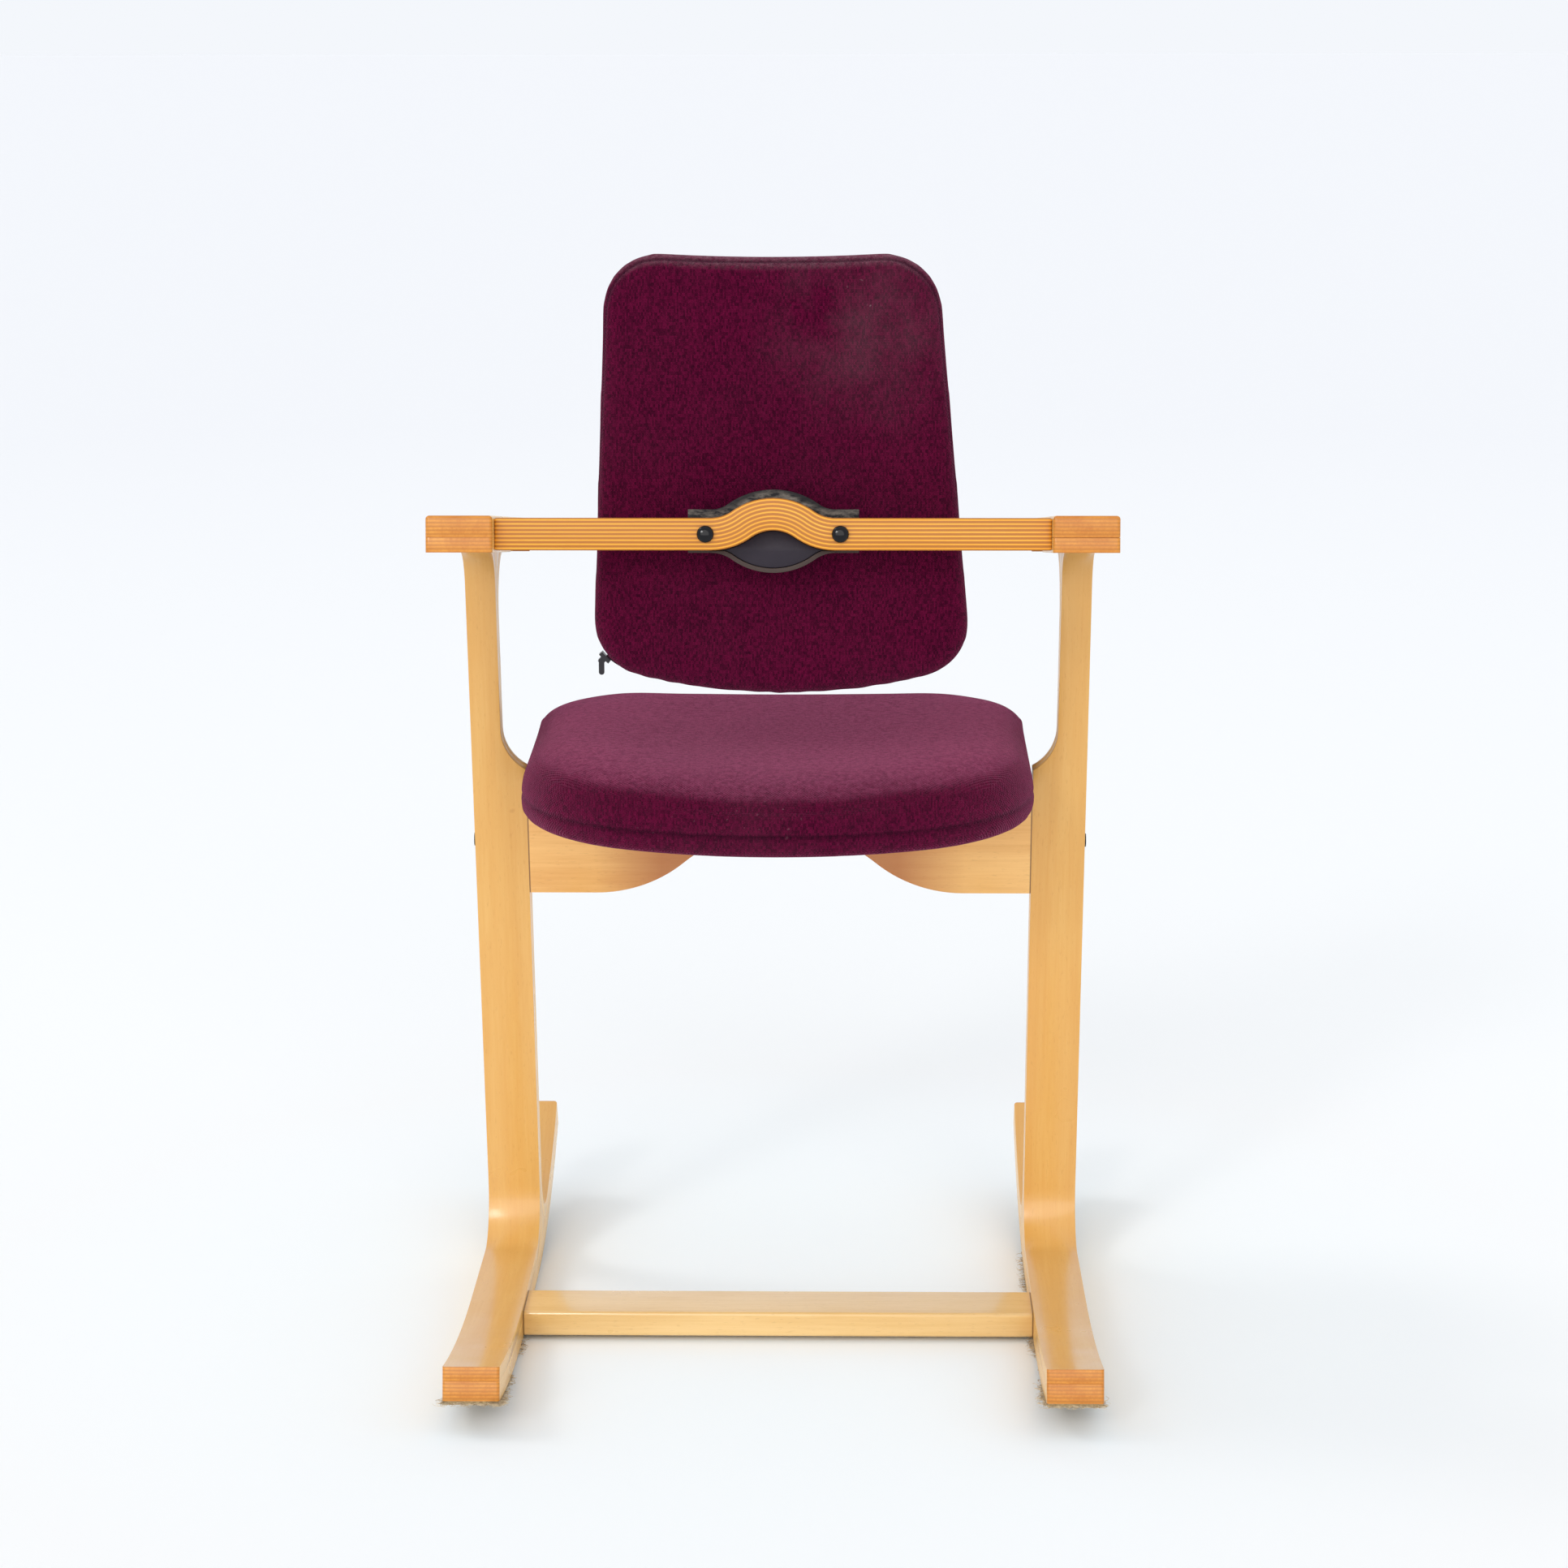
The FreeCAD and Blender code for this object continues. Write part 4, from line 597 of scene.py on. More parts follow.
def alongLine(points, line):  # length along a line, and signed distance from it
    begins, steps = line[:-1], line[1:] - line[:-1]
    lengths = np.linalg.norm(steps, axis=1)
    keep = lengths > 1e-9
    begins, steps, lengths = begins[keep], steps[keep], lengths[keep]
    starts = np.concatenate(([0.0], np.cumsum(lengths)))[:-1]
    away = points[:, None, :] - begins[None]
    share = np.clip((away * steps[None]).sum(2) / lengths ** 2, 0, 1)
    nearest = np.linalg.norm(away - share[..., None] * steps[None], axis=2)
    best = nearest.argmin(1)
    rows = np.arange(len(points))
    unit = steps[best] / lengths[best][:, None]
    side = unit[:, 0] * away[rows, best, 1] - unit[:, 1] * away[rows, best, 0]
    return starts[best] + share[rows, best] * lengths[best], side, unit


def markEnds(piece, line, reach):  # end faces take the second material
    mesh = piece.data
    for face in mesh.polygons:
        middle = np.array((face.center.y, face.center.z))
        _, _, unit = alongLine(middle[None], line)
        facing = abs(face.normal.y * unit[0, 0] + face.normal.z * unit[0, 1])
        atEnd = min(np.linalg.norm(middle - line[0]), np.linalg.norm(middle - line[-1])) < reach
        face.material_index = 1 if facing > sideFrame["endFacing"] and atEnd else 0


def dressSheet(nodeName, line, ends=True):
    piece = cleanCopy(nodeName, nodeName + "_wood")
    easeEdges(piece, sideFrame["edge"])
    points = pointsOf(piece.data)
    along, depth, _ = alongLine(points[:, 1:], line)
    shift = sideFrame["leftShift"] if nodeName.startswith("left") else 0.0  # each side has its own veneer
    grain = np.column_stack((points[:, 0] + shift, along + shift, depth))
    setAttribute(piece.data, "grain", grain, "FLOAT_VECTOR")
    piece.data.materials.append(beechSheet)
    piece.data.materials.append(beechEnd)
    if ends:
        markEnds(piece, line, sideFrame["endReach"])
    smoothByAngle(piece)
    dress(piece, "frame", "beech_laminate", nodeName)


sheetLines = {
    "rear_lamination": rearSheetLine(),
    "front_lamination": frontSheetLine(),
    "runner_sole": runnerLine(sideFrame["strip"] + sideFrame["sole"] / 2),
    "armrest_cap": armLine(),
    "wedges": runnerLine(soleTop),
}
for side in ("right", "left"):
    for part, line in sheetLines.items():
        dressSheet(side + "_" + part, line, part != "wedges")
print("side frames dressed")


# solid beech pieces: the grain runs across the chair or along the cleat
def dressSolid(nodeName, order, edge, material):
    piece = cleanCopy(nodeName, nodeName + "_wood")
    easeEdges(piece, edge)
    points = pointsOf(piece.data)
    setAttribute(piece.data, "grain", points[:, order], "FLOAT_VECTOR")
    piece.data.materials.append(material)
    smoothByAngle(piece)
    dress(piece, "frame", "beech_solid", nodeName)


dressSolid("seat_cross_board", (2, 0, 1), 0.0009, beechBoard)
dressSolid("floor_stretcher", (1, 0, 2), 0.0004, beechStretcher)
dressSolid("seat_cleats", (0, 1, 2), 0.0012, beechSolid)
print("cross pieces dressed")

# laminated back bar, bent over the pivot
backBar = {
    "halfSpan": 0.223, "depth": 0.025, "height": 0.026, "archHalf": 0.050, "archRise": 0.016,
    "crownRadius": 0.030, "edge": 0.0016, "cuts": 110, "slope": 8.2, "recess": 0.017,
}
archTurn = 2 * math.atan(backBar["archRise"] / backBar["archHalf"])
archSum = backBar["archHalf"] / math.sin(archTurn)
shoulderRadius = archSum - backBar["crownRadius"] - backBar["height"] / 2
crownRadius = archSum - shoulderRadius
shoulderRun = shoulderRadius * archTurn
crownRun = crownRadius * archTurn
barHalfLength = backBar["halfSpan"] - backBar["archHalf"] + shoulderRun + crownRun
barDrop = armUp * (sideFrame["cap"] + sideFrame["sheet"]) / 2
barPoint = armCorner + armForward * backBar["recess"] - barDrop
barTurn = Euler((math.radians(-backBar["slope"]), 0, 0)).to_matrix()
barOrigin = Vector((0, barPoint[0], barPoint[1]))


def bendToArch(along, level):  # a straight bar's point, on the arched middle line
    side = math.copysign(1, along)
    run = abs(along)
    crownHeight = shoulderRadius - archSum * math.cos(archTurn)
    if run < crownRun:
        angle = run / crownRadius
        reach = crownRadius + level
        return side * reach * math.sin(angle), crownHeight + reach * math.cos(angle)
    if run < crownRun + shoulderRun:
        angle = archTurn - (run - crownRun) / shoulderRadius
        reach = shoulderRadius - level
        across = backBar["archHalf"] - reach * math.sin(angle)
        return side * across, shoulderRadius - reach * math.cos(angle)
    return side * (backBar["archHalf"] + run - crownRun - shoulderRun), level


def makeBar():
    clearSelection()
    bpy.ops.mesh.primitive_cube_add(size=1, location=(0, backBar["depth"] / 2, 0))
    bar = bpy.context.object
    bar.name = bar.data.name = "back_bar_wood"
    bar.scale = (2 * barHalfLength, backBar["depth"], backBar["height"])
    bpy.ops.object.transform_apply(location=True, rotation=False, scale=True)
    easeEdges(bar, backBar["edge"], 3)
    cutAcross(bar, -barHalfLength, barHalfLength, backBar["cuts"])
    setAttribute(bar.data, "grain", pointsOf(bar.data)[:, (1, 0, 2)], "FLOAT_VECTOR")
    for vertex in bar.data.vertices:
        across, level = bendToArch(vertex.co.x, vertex.co.z)
        vertex.co = barOrigin + barTurn @ Vector((across, vertex.co.y, level))
    bar.data.materials.append(beechBar)
    smoothByAngle(bar)
    dress(bar, "frame", "beech_laminate", "back_bar")


makeBar()
print("back bar bent")

# dome bolts through the bar
barBolt = {
    "halfSpread": 0.054, "radius": 0.00685, "height": 0.0045, "skirt": 0.0007, "sides": 40, "rings": 20,
}


def makeDome():
    clearSelection()
    bpy.ops.mesh.primitive_uv_sphere_add(segments=barBolt["sides"], ring_count=barBolt["rings"],
                                         radius=barBolt["radius"])
    dome = bpy.context.object
    editAll(dome)
    bpy.ops.mesh.bisect(plane_co=(0, 0, 0), plane_no=(0, 0, 1), clear_inner=True, use_fill=True)
    bpy.ops.mesh.select_all(action="SELECT")
    bpy.ops.transform.resize(value=(1, 1, (barBolt["height"] - barBolt["skirt"]) / barBolt["radius"]))
    bpy.ops.mesh.select_all(action="DESELECT")
    leaveEdit()
    for face in dome.data.polygons:
        face.select = face.normal.z < -0.9
    bpy.ops.object.mode_set(mode="EDIT")
    bpy.ops.mesh.extrude_region_move(TRANSFORM_OT_translate={"value": (0, 0, -barBolt["skirt"])})
    leaveEdit()
    points = pointsOf(dome.data)
    points[:, 2] += barBolt["skirt"]
    return dome, points


def makeBolts():
    dome, points = makeDome()
    lying = np.column_stack((points[:, 0], -points[:, 2], points[:, 1]))  # the dome faces the rear
    clearSelection()
    copies = []
    for side in (-1, 1):
        copy = addObject("bar_bolt", dome.data.copy())
        shifted = lying + np.array((side * barBolt["halfSpread"], 0, 0))
        setPoints(copy.data, [barOrigin + barTurn @ Vector(point) for point in shifted])
        copies.append(copy)
    bpy.data.objects.remove(dome)
    for copy in copies:
        copy.select_set(True)
    bpy.context.view_layer.objects.active = copies[0]
    bpy.ops.object.join()
    bolts = bpy.context.object
    bolts.name = bolts.data.name = "bar_bolt_domes"
    bolts.data.materials.append(blackSteel)
    smoothByAngle(bolts, 50)
    dress(bolts, "frame", "black_steel", "bar_bolts")


makeBolts()
print("bolts made")


# black moulding: dust lies in streaks along the edges beside the bar
housingFinish = {
    "colour": (0.004, 0.003, 0.005, 1), "dust": (0.38, 0.335, 0.285, 1), "rim": (0.115, 0.080, 0.068, 1),
    "near": 0.0128, "far": 0.0166, "streaks": 0.5, "earStart": 0.046, "earFull": 0.0529, "earDust": 0.30,
    "rimHigh": -0.010, "rimLow": -0.014, "rimDust": 0.5,
}


def makeHousingFinish():
    material, tree, shader = newMaterial("blackPlastic", {"IOR": 1.46, "Specular IOR Level": 0.16})
    place = ownPlace(tree)
    parts = axesOf(tree, place)
    run = calc(tree, "ABSOLUTE", parts[0])
    turn = spread(tree, run, 0.0, backBar["archHalf"], 0.0, math.pi)
    hump = times(tree, plus(tree, calc(tree, "COSINE", turn), 1.0), backBar["archRise"] / 2)
    level = minus(tree, minus(tree, parts[2], barOrigin.z), hump)
    swept = stretched(tree, place, (0.35, 1.0, 1.0))
    streak = spread(tree, noise(tree, swept, 190.0, 4.0, 0.7), 0.42, 0.68)
    beside = spread(tree, level, housingFinish["far"], housingFinish["near"], 0.05, housingFinish["streaks"])
    ears = spread(tree, run, housingFinish["earStart"], housingFinish["earFull"],
                  0.0, housingFinish["earDust"])
    dust = times(tree, streak, calc(tree, "MAXIMUM", beside, ears))
    grit = noise(tree, place, 700.0, 2.0)
    low = spread(tree, level, housingFinish["rimHigh"], housingFinish["rimLow"],
                 0.0, housingFinish["rimDust"])
    colour = mixColours(tree, low, housingFinish["colour"], housingFinish["rim"])
    above = calc(tree, "GREATER_THAN", level, 0.0)
    colour = mixColours(tree, times(tree, dust, above), colour, housingFinish["dust"])
    rough = plus(tree, times(tree, dust, 0.35), 0.42)
    finishSurface(tree, shader, colour, rough, grit, 0.18, 0.0003)
    return material


blackPlastic = makeHousingFinish()


# moulded pieces keep the CAD shape with eased edges
def dressMoulded(nodeName, edge, material, slot):
    piece = cleanCopy(nodeName, nodeName + "_moulded")
    easeEdges(piece, edge, 3, 40)
    piece.data.materials.append(material)
    smoothByAngle(piece, 35)
    dress(piece, "frame", slot, nodeName)


dressMoulded("pivot_housing", 0.0013, blackPlastic, "black_plastic")
dressMoulded("pivot_cover_plate", 0.0004, platePlastic, "plate_plastic")


# cushions: a lofted pad is remeshed, blown up as cloth and then gets its seams
def outlineOf(arcs, spacing):  # points round a chain of arcs and the straight runs between them
    ring = []

    def onArc(arc, angle):
        return np.array((arc[0] + arc[2] * math.cos(angle), arc[1] + arc[2] * math.sin(angle)))

    for arc, following in zip(arcs, arcs[1:] + arcs[:1]):
        first, last = math.radians(arc[3]), math.radians(arc[4])
        count = max(2, round((last - first) * arc[2] / spacing))
        ring += [onArc(arc, first + (last - first) * step / count) for step in range(count + 1)]
        begin, end = ring[-1], onArc(following, math.radians(following[3]))
        count = round(math.dist(begin, end) / spacing)
        ring += [begin + (end - begin) * step / count for step in range(1, count)]
    return np.array(ring)


def drawnIn(outline, centre, share):
    return centre + (outline - centre) * (1 - share)


def crownDraw(share, power):  # how far the cover draws in from the seam (0) to the face (1)
    return 1 - (1 - share ** power) ** (1 / power)


def ringsBetween(outline, centre, shares, draw, seam, face, power=2.4):  # from the seam to a face
    rings = []
    for share in shares:
        ring = drawnIn(outline, centre, draw * crownDraw(share, power))
        rings.append([(first, second, seam + (face - seam) * share) for first, second in ring])
    return rings


def loftPad(name, rings):  # closed form through rings of equal count
    count = len(rings[0])
    verts = [point for ring in rings for point in ring]
    faces = [list(range(count - 1, -1, -1)), [len(verts) - count + step for step in range(count)]]
    for level in range(len(rings) - 1):
        base = level * count
        for step in range(count):
            after = (step + 1) % count
            faces.append((base + step, base + after, base + count + after, base + count + step))
    pad = newMeshPiece(name, verts, faces)
    editAll(pad)
    bpy.ops.mesh.remove_doubles(threshold=0.0001)
    bpy.ops.mesh.normals_make_consistent(inside=False)
    leaveEdit()
    return pad


def evenOut(mesh, moves, rounds):  # neighbouring moves are averaged, so that the cover stays taut
    edges = np.empty(len(mesh.edges) * 2, dtype=np.int64)
    mesh.edges.foreach_get("vertices", edges)
    first, second = edges.reshape(-1, 2).T
    counts = np.bincount(edges, minlength=len(moves))[:, None]
    for _ in range(rounds):
        total = np.zeros_like(moves)
        np.add.at(total, first, moves[second])
        np.add.at(total, second, moves[first])
        moves = 0.5 * moves + 0.5 * total / counts
    return moves


padCloth = {"quality": 5, "bending": 2.0, "evenRounds": 40, "smooth": 0.5, "smoothRounds": 9}


def blowUp(pad, values, pinned):
    pad.data.remesh_voxel_size = values["voxel"]
    makeActive(pad)
    bpy.ops.object.voxel_remesh()
    rest = pointsOf(pad.data)
    held = pad.vertex_groups.new(name="held")
    held.add([int(index) for index in np.nonzero(pinned(rest))[0]], 1.0, "REPLACE")
    cloth = pad.modifiers.new("Cloth", "CLOTH")
    cloth.settings.use_pressure = True
    cloth.settings.uniform_pressure_force = values["pressure"]
    cloth.settings.effector_weights.gravity = 0
    cloth.settings.quality = padCloth["quality"]
    cloth.settings.bending_stiffness = padCloth["bending"]
    cloth.settings.vertex_group_mass = "held"
    cloth.point_cache.frame_start = 1
    cloth.point_cache.frame_end = values["frames"]
    for step in range(1, values["frames"] + 1):
        scene.frame_set(step)
    blown = pad.evaluated_get(bpy.context.evaluated_depsgraph_get())
    moved = pointsOf(blown.data) - rest
    pad.modifiers.remove(cloth)
    pad.vertex_groups.clear()
    lengths = np.maximum(np.linalg.norm(moved, axis=1), 1e-9)
    capped = moved * np.minimum(1.0, values["cap"] / lengths)[:, None]
    setPoints(pad.data, rest + evenOut(pad.data, capped, padCloth["evenRounds"]))
    scene.frame_set(1)
    addModifier(pad, "SMOOTH", factor=padCloth["smooth"], iterations=padCloth["smoothRounds"])
    addModifier(pad, "SUBSURF", levels=1, render_levels=1)
    makeActive(pad)
    bpy.ops.object.shade_smooth()


def addClothMap(pad):
    pad.data.uv_layers.new(name="cloth")
    editAll(pad)
    bpy.ops.uv.cube_project(cube_size=1.0, correct_aspect=False)
    leaveEdit()


def finishPad(pad, points, seam, material):
    setPoints(pad.data, points)
    setAttribute(pad.data, "seamLine", seam)
    addClothMap(pad)
    pad.data.materials.append(material)


def bell(values, width):
    return np.exp(-(values / width) ** 2)


def ramp(values, start, end):  # 0 at the start, 1 at the end, held beyond both
    return np.clip((values - start) / (end - start), 0, 1)


def waver(values, pitch, sway, swayPitch):  # an uneven wave
    return np.sin(values * pitch + sway * np.sin(values * swayPitch))


seatPad = {
    "halfWidth": 0.2213, "front": 0.226, "rearEdge": 0.2185, "rearRadius": 0.346, "sideRadius": 0.150,
    "frontCorner": 0.085, "height": 0.4673, "slope": 2.2, "thickness": 0.0615, "seam": 0.0195,
    "base": 0.0004, "centre": 0.045, "underDraw": 0.034, "underShares": (1.0, 0.9, 0.7, 0.4),
    "topDraw": 0.185, "topPower": 2.9, "topShares": (0.0, 0.2, 0.4, 0.55, 0.7, 0.82, 0.9, 0.96, 0.99, 1.0),
    "spacing": 0.009, "voxel": 0.0052, "pressure": 4.0, "cap": 0.0040, "frames": 20, "pinned": 0.004,
    "highFrom": 0.032, "highTo": 0.046, "dish": 0.0075, "dishHalf": 0.185, "dishPower": 1.5,
    "dishLeast": 0.45, "dishFront": 0.16, "dishRear": -0.14, "frontFall": 0.0125,
    "cornerFill": 0.008, "fillFrom": 0.05, "fillTo": 0.19, "rimFrom": 0.5, "rimTo": 0.8,
    "groove": 0.0015, "grooveWidth": 0.0016, "wrinkle": 0.0005, "wave": (173, 2.1, 41),
    "waveDepth": (150, 1.3),
}


def seatArcs():
    rear = (0.0, seatPad["rearRadius"] - seatPad["rearEdge"])
    across = seatPad["halfWidth"] - seatPad["sideRadius"]
    gap = seatPad["rearRadius"] - seatPad["sideRadius"]
    sideY = rear[1] - math.sqrt(gap ** 2 - across ** 2)
    turn = math.degrees(math.atan2(sideY - rear[1], across))
    corner = seatPad["frontCorner"]
    cornerX, cornerY = seatPad["halfWidth"] - corner, seatPad["front"] - corner
    return [
        (0.0, rear[1], seatPad["rearRadius"], -180 - turn, turn),
        (across, sideY, seatPad["sideRadius"], turn, 0),
        (cornerX, cornerY, corner, 0, 90),
        (-cornerX, cornerY, corner, 90, 180),
        (-across, sideY, seatPad["sideRadius"], 180, 180 - turn),
    ]


def makeSeat():
    outline = outlineOf(seatArcs(), seatPad["spacing"])
    centre = np.array((0.0, seatPad["centre"]))
    rings = ringsBetween(outline, centre, seatPad["underShares"], seatPad["underDraw"],
                         seatPad["base"] + seatPad["seam"], seatPad["base"])
    rings += ringsBetween(outline, centre, seatPad["topShares"], seatPad["topDraw"],
                          seatPad["seam"], seatPad["thickness"], seatPad["topPower"])
    seat = loftPad("seat_cushion_wool", rings)
    blowUp(seat, seatPad, lambda points: points[:, 2] < seatPad["seam"] + seatPad["pinned"])
    points = pointsOf(seat.data)
    normals = normalsOf(seat.data)
    high = ramp(points[:, 2], seatPad["highFrom"], seatPad["highTo"])
    dish = np.clip(1 - (points[:, 0] / seatPad["dishHalf"]) ** 2, 0, 1) ** seatPad["dishPower"]
    rearward = ramp(points[:, 1], seatPad["dishFront"], seatPad["dishRear"])
    deeper = seatPad["dishLeast"] + (1 - seatPad["dishLeast"]) * rearward
    points[:, 2] -= seatPad["dish"] * dish * high * deeper
    points[:, 2] -= seatPad["frontFall"] * high * (1 - rearward)  # the front lies lower than the rear roll
    forward = ramp(points[:, 1], seatPad["fillFrom"], seatPad["fillTo"])  # the front corners are well filled
    points[:, 0] += seatPad["cornerFill"] * forward * high * points[:, 0] / seatPad["halfWidth"]
    rim = ramp(np.hypot(normals[:, 0], normals[:, 1]), seatPad["rimFrom"], seatPad["rimTo"])
    seam = bell(points[:, 2] - seatPad["seam"], seatPad["grooveWidth"]) * rim
    below = np.clip(1 - points[:, 2] / seatPad["seam"], 0, 1) * rim
    pitch, start = seatPad["waveDepth"]
    ripple = waver(points[:, 0], *seatPad["wave"]) * np.sin(points[:, 1] * pitch + start)
    points -= normals * (seatPad["groove"] * seam + seatPad["wrinkle"] * ripple * below)[:, None]
    turn = Euler((math.radians(seatPad["slope"]), 0, 0)).to_matrix()
    lift = np.array((0, 0, seatPad["height"]))
    finishPad(seat, points @ np.array(turn).T + lift, seam, seatWool)
    dress(seat, "frame", "wool_upholstery", "seat_cushion")


makeSeat()
print("seat cushion made")

backPad = {
    "rear": -0.174287, "thickness": 0.046, "seam": 0.018, "bottom": 0.5868, "top": 0.9495,
    "lowHalf": 0.1545, "lowLevel": 0.655, "highHalf": 0.1400, "highLevel": 0.880,
    "bottomRadius": 0.480, "corner": 0.047, "centre": 0.772,
    "rearDraw": 0.085, "rearShares": (1.0, 0.985, 0.94, 0.82, 0.6, 0.3),
    "frontDraw": 0.24, "frontShares": (0.0, 0.25, 0.45, 0.65, 0.8, 0.9, 0.96, 1.0),
    "spacing": 0.008, "voxel": 0.0048, "pressure": 4.0, "cap": 0.0040, "frames": 20,
    "pinFront": 0.004, "pinRear": 0.005, "plateHalf": 0.075, "plateLevel": 0.722, "plateRise": 0.040,
    "dip": 0.0026, "dipReach": 0.095, "dipFrom": 0.885, "dipTo": 0.935, "rimFrom": 0.3, "rimTo": 0.5,
    "groove": 0.0009, "grooveWidth": 0.0015, "highSeam": 0.0075, "climbFrom": 0.64, "climbTo": 0.80,
    "pucker": 0.0002, "puckerFrom": 0.632, "puckerTo": 0.602, "wave": (290, 1.7, 63), "bulge": 0.0015,
    "skew": 0.025, "skewLevel": 0.860,
}


def backArcs():
    narrowing = backPad["lowHalf"] - backPad["highHalf"]
    taper = math.atan(narrowing / (backPad["highLevel"] - backPad["lowLevel"]))
    corner = backPad["corner"]
    outward = np.array((math.cos(taper), math.sin(taper)))
    anchor = np.array((backPad["lowHalf"], backPad["lowLevel"]))
    topZ = backPad["top"] - corner
    topX = (anchor @ outward - corner - topZ * outward[1]) / outward[0]
    centre = np.array((0.0, backPad["bottom"] + backPad["bottomRadius"]))
    climb = np.array((-outward[1], outward[0]))
    start = anchor - outward * corner - centre
    half = start @ climb
    reach = backPad["bottomRadius"] - corner
    low = centre + start + climb * (-half - math.sqrt(half ** 2 - start @ start + reach ** 2))
    lean = math.degrees(taper)
    turn = math.degrees(math.atan2(low[1] - centre[1], low[0]))
    return [
        (0.0, centre[1], backPad["bottomRadius"], -180 - turn, turn),
        (low[0], low[1], corner, turn, lean),
        (topX, topZ, corner, lean, 90),
        (-topX, topZ, corner, 90, 180 - lean),
        (-low[0], low[1], corner, 180 - lean, 180 - turn),
    ]


def backPinned(points):  # the band at the seam, and where the rear face lies on the housing
    seam = backPad["rear"] + backPad["seam"]
    besidePlate = np.abs(points[:, 0]) < backPad["plateHalf"]
    besidePlate &= np.abs(points[:, 2] - backPad["plateLevel"]) < backPad["plateRise"]
    band = points[:, 1] > seam - backPad["pinRear"]
    return (points[:, 1] < seam + backPad["pinFront"]) & (band | besidePlate)


def makeBack():
    outline = outlineOf(backArcs(), backPad["spacing"])
    centre = np.array((0.0, backPad["centre"]))
    rear, seam = backPad["rear"], backPad["rear"] + backPad["seam"]
    rings = ringsBetween(outline, centre, backPad["rearShares"], backPad["rearDraw"], seam, rear)
    rings += ringsBetween(outline, centre, backPad["frontShares"], backPad["frontDraw"],
                          seam, rear + backPad["thickness"])
    upright = [[(x, depth, z) for x, z, depth in ring] for ring in rings]
    back = loftPad("back_cushion_wool", upright)
    blowUp(back, backPad, backPinned)
    points = pointsOf(back.data)
    normals = normalsOf(back.data)
    high = ramp(points[:, 2], backPad["dipFrom"], backPad["dipTo"])
    dip = np.clip(1 - (points[:, 0] / backPad["dipReach"]) ** 2, 0, 1)
    points[:, 2] -= backPad["dip"] * high * dip
    rim = ramp(np.hypot(normals[:, 0], normals[:, 2]), backPad["rimFrom"], backPad["rimTo"])
    climb = ramp(points[:, 2], backPad["climbFrom"], backPad["climbTo"])  # the seam shifts rearward
    depth = backPad["seam"] + (backPad["highSeam"] - backPad["seam"]) * climb
    seam = bell(points[:, 1] - backPad["rear"] - depth, backPad["grooveWidth"]) * rim
    low = ramp(points[:, 2], backPad["puckerFrom"], backPad["puckerTo"])
    pucker = waver(points[:, 0], *backPad["wave"]) * low * rim
    points -= normals * (backPad["groove"] * seam + backPad["pucker"] * pucker)[:, None]
    points[:, 1] = np.maximum(points[:, 1], backPad["rear"] - backPad["bulge"])
    points[:, 0] += backPad["skew"] * (backPad["skewLevel"] - points[:, 2])  # the cover sits a little askew
    finishPad(back, points, seam, backWool)
    dress(back, "backrest", "wool_upholstery", "back_cushion")


makeBack()
print("back cushion made")

# felt under the runners, worn to loose fibres at its edges
floorFelt = {
    "innerX": 0.224, "outerX": 0.269, "seed": 41, "count": 900, "thin": 0.00022, "thick": 0.00042,
    "short": 0.0025, "long": 0.0095, "sides": 4, "joints": 5, "low": 0.0006, "least": 0.00012,
    "level": 0.0012, "endRun": 0.03, "tuftSpread": 0.011, "edgeSpread": 0.02, "outerShare": 0.75,
    "endFan": 0.7, "edgeFan": 0.75, "trimFrom": 0.8, "trim": 0.7, "curl": 4.6, "lift": (-0.25, 0.35),
    "flatBelow": 0.004, "flatLift": 0.4, "taper": 0.6, "arch": 1.4,
}
frayed = {  # shares of the fibres, and where along the runner they come loose
    "right": {"sign": 1, "rearEnd": 0.22, "inner": 0.60, "outer": (0.0, 0.15, 0.21, 0.24),
              "tufts": (0.015, 0.03, 0.045, 0.06, 0.09, 0.20, 0.21, 0.215, 0.22, 0.30, 0.36, 0.39, 0.42)},
    "left": {"sign": -1, "rearEnd": 0.45, "inner": 0.44, "outer": (0.0, 0.3),
             "tufts": (0.0, 0.005, 0.01, 0.02, 0.05, 0.10, 0.20, 0.27, 0.30)},
}


def makeStrand():  # one straight fibre of unit length along X
    clearSelection()
    bpy.ops.mesh.primitive_cylinder_add(vertices=floorFelt["sides"], radius=1, depth=1, end_fill_type="NGON",
                                        location=(0.5, 0, 0), rotation=(0, math.pi / 2, 0))
    strand = bpy.context.object
    bpy.ops.object.transform_apply(location=True, rotation=True, scale=True)
    cutAcross(strand, 0, 1, floorFelt["joints"])
    points = pointsOf(strand.data)
    faces = [list(face.vertices) for face in strand.data.polygons]
    bpy.data.objects.remove(strand)
    return points, faces


def curlStrand(points, root, bearing, length, radius, curl, lift):
    along = points[:, 0]
    width = radius * (1 - floorFelt["taper"] * along)
    angle = bearing + curl * along
    line = np.column_stack((np.cos(angle), np.sin(angle))) * (length * along)[:, None]
    rise = lift * along * length * (floorFelt["arch"] - along)
    x = root[0] + line[:, 0] - np.sin(angle) * points[:, 1] * width
    y = root[1] + line[:, 1] + np.cos(angle) * points[:, 1] * width
    z = root[2] + rise + points[:, 2] * width
    return np.column_stack((x, y, np.maximum(z, floorFelt["least"])))


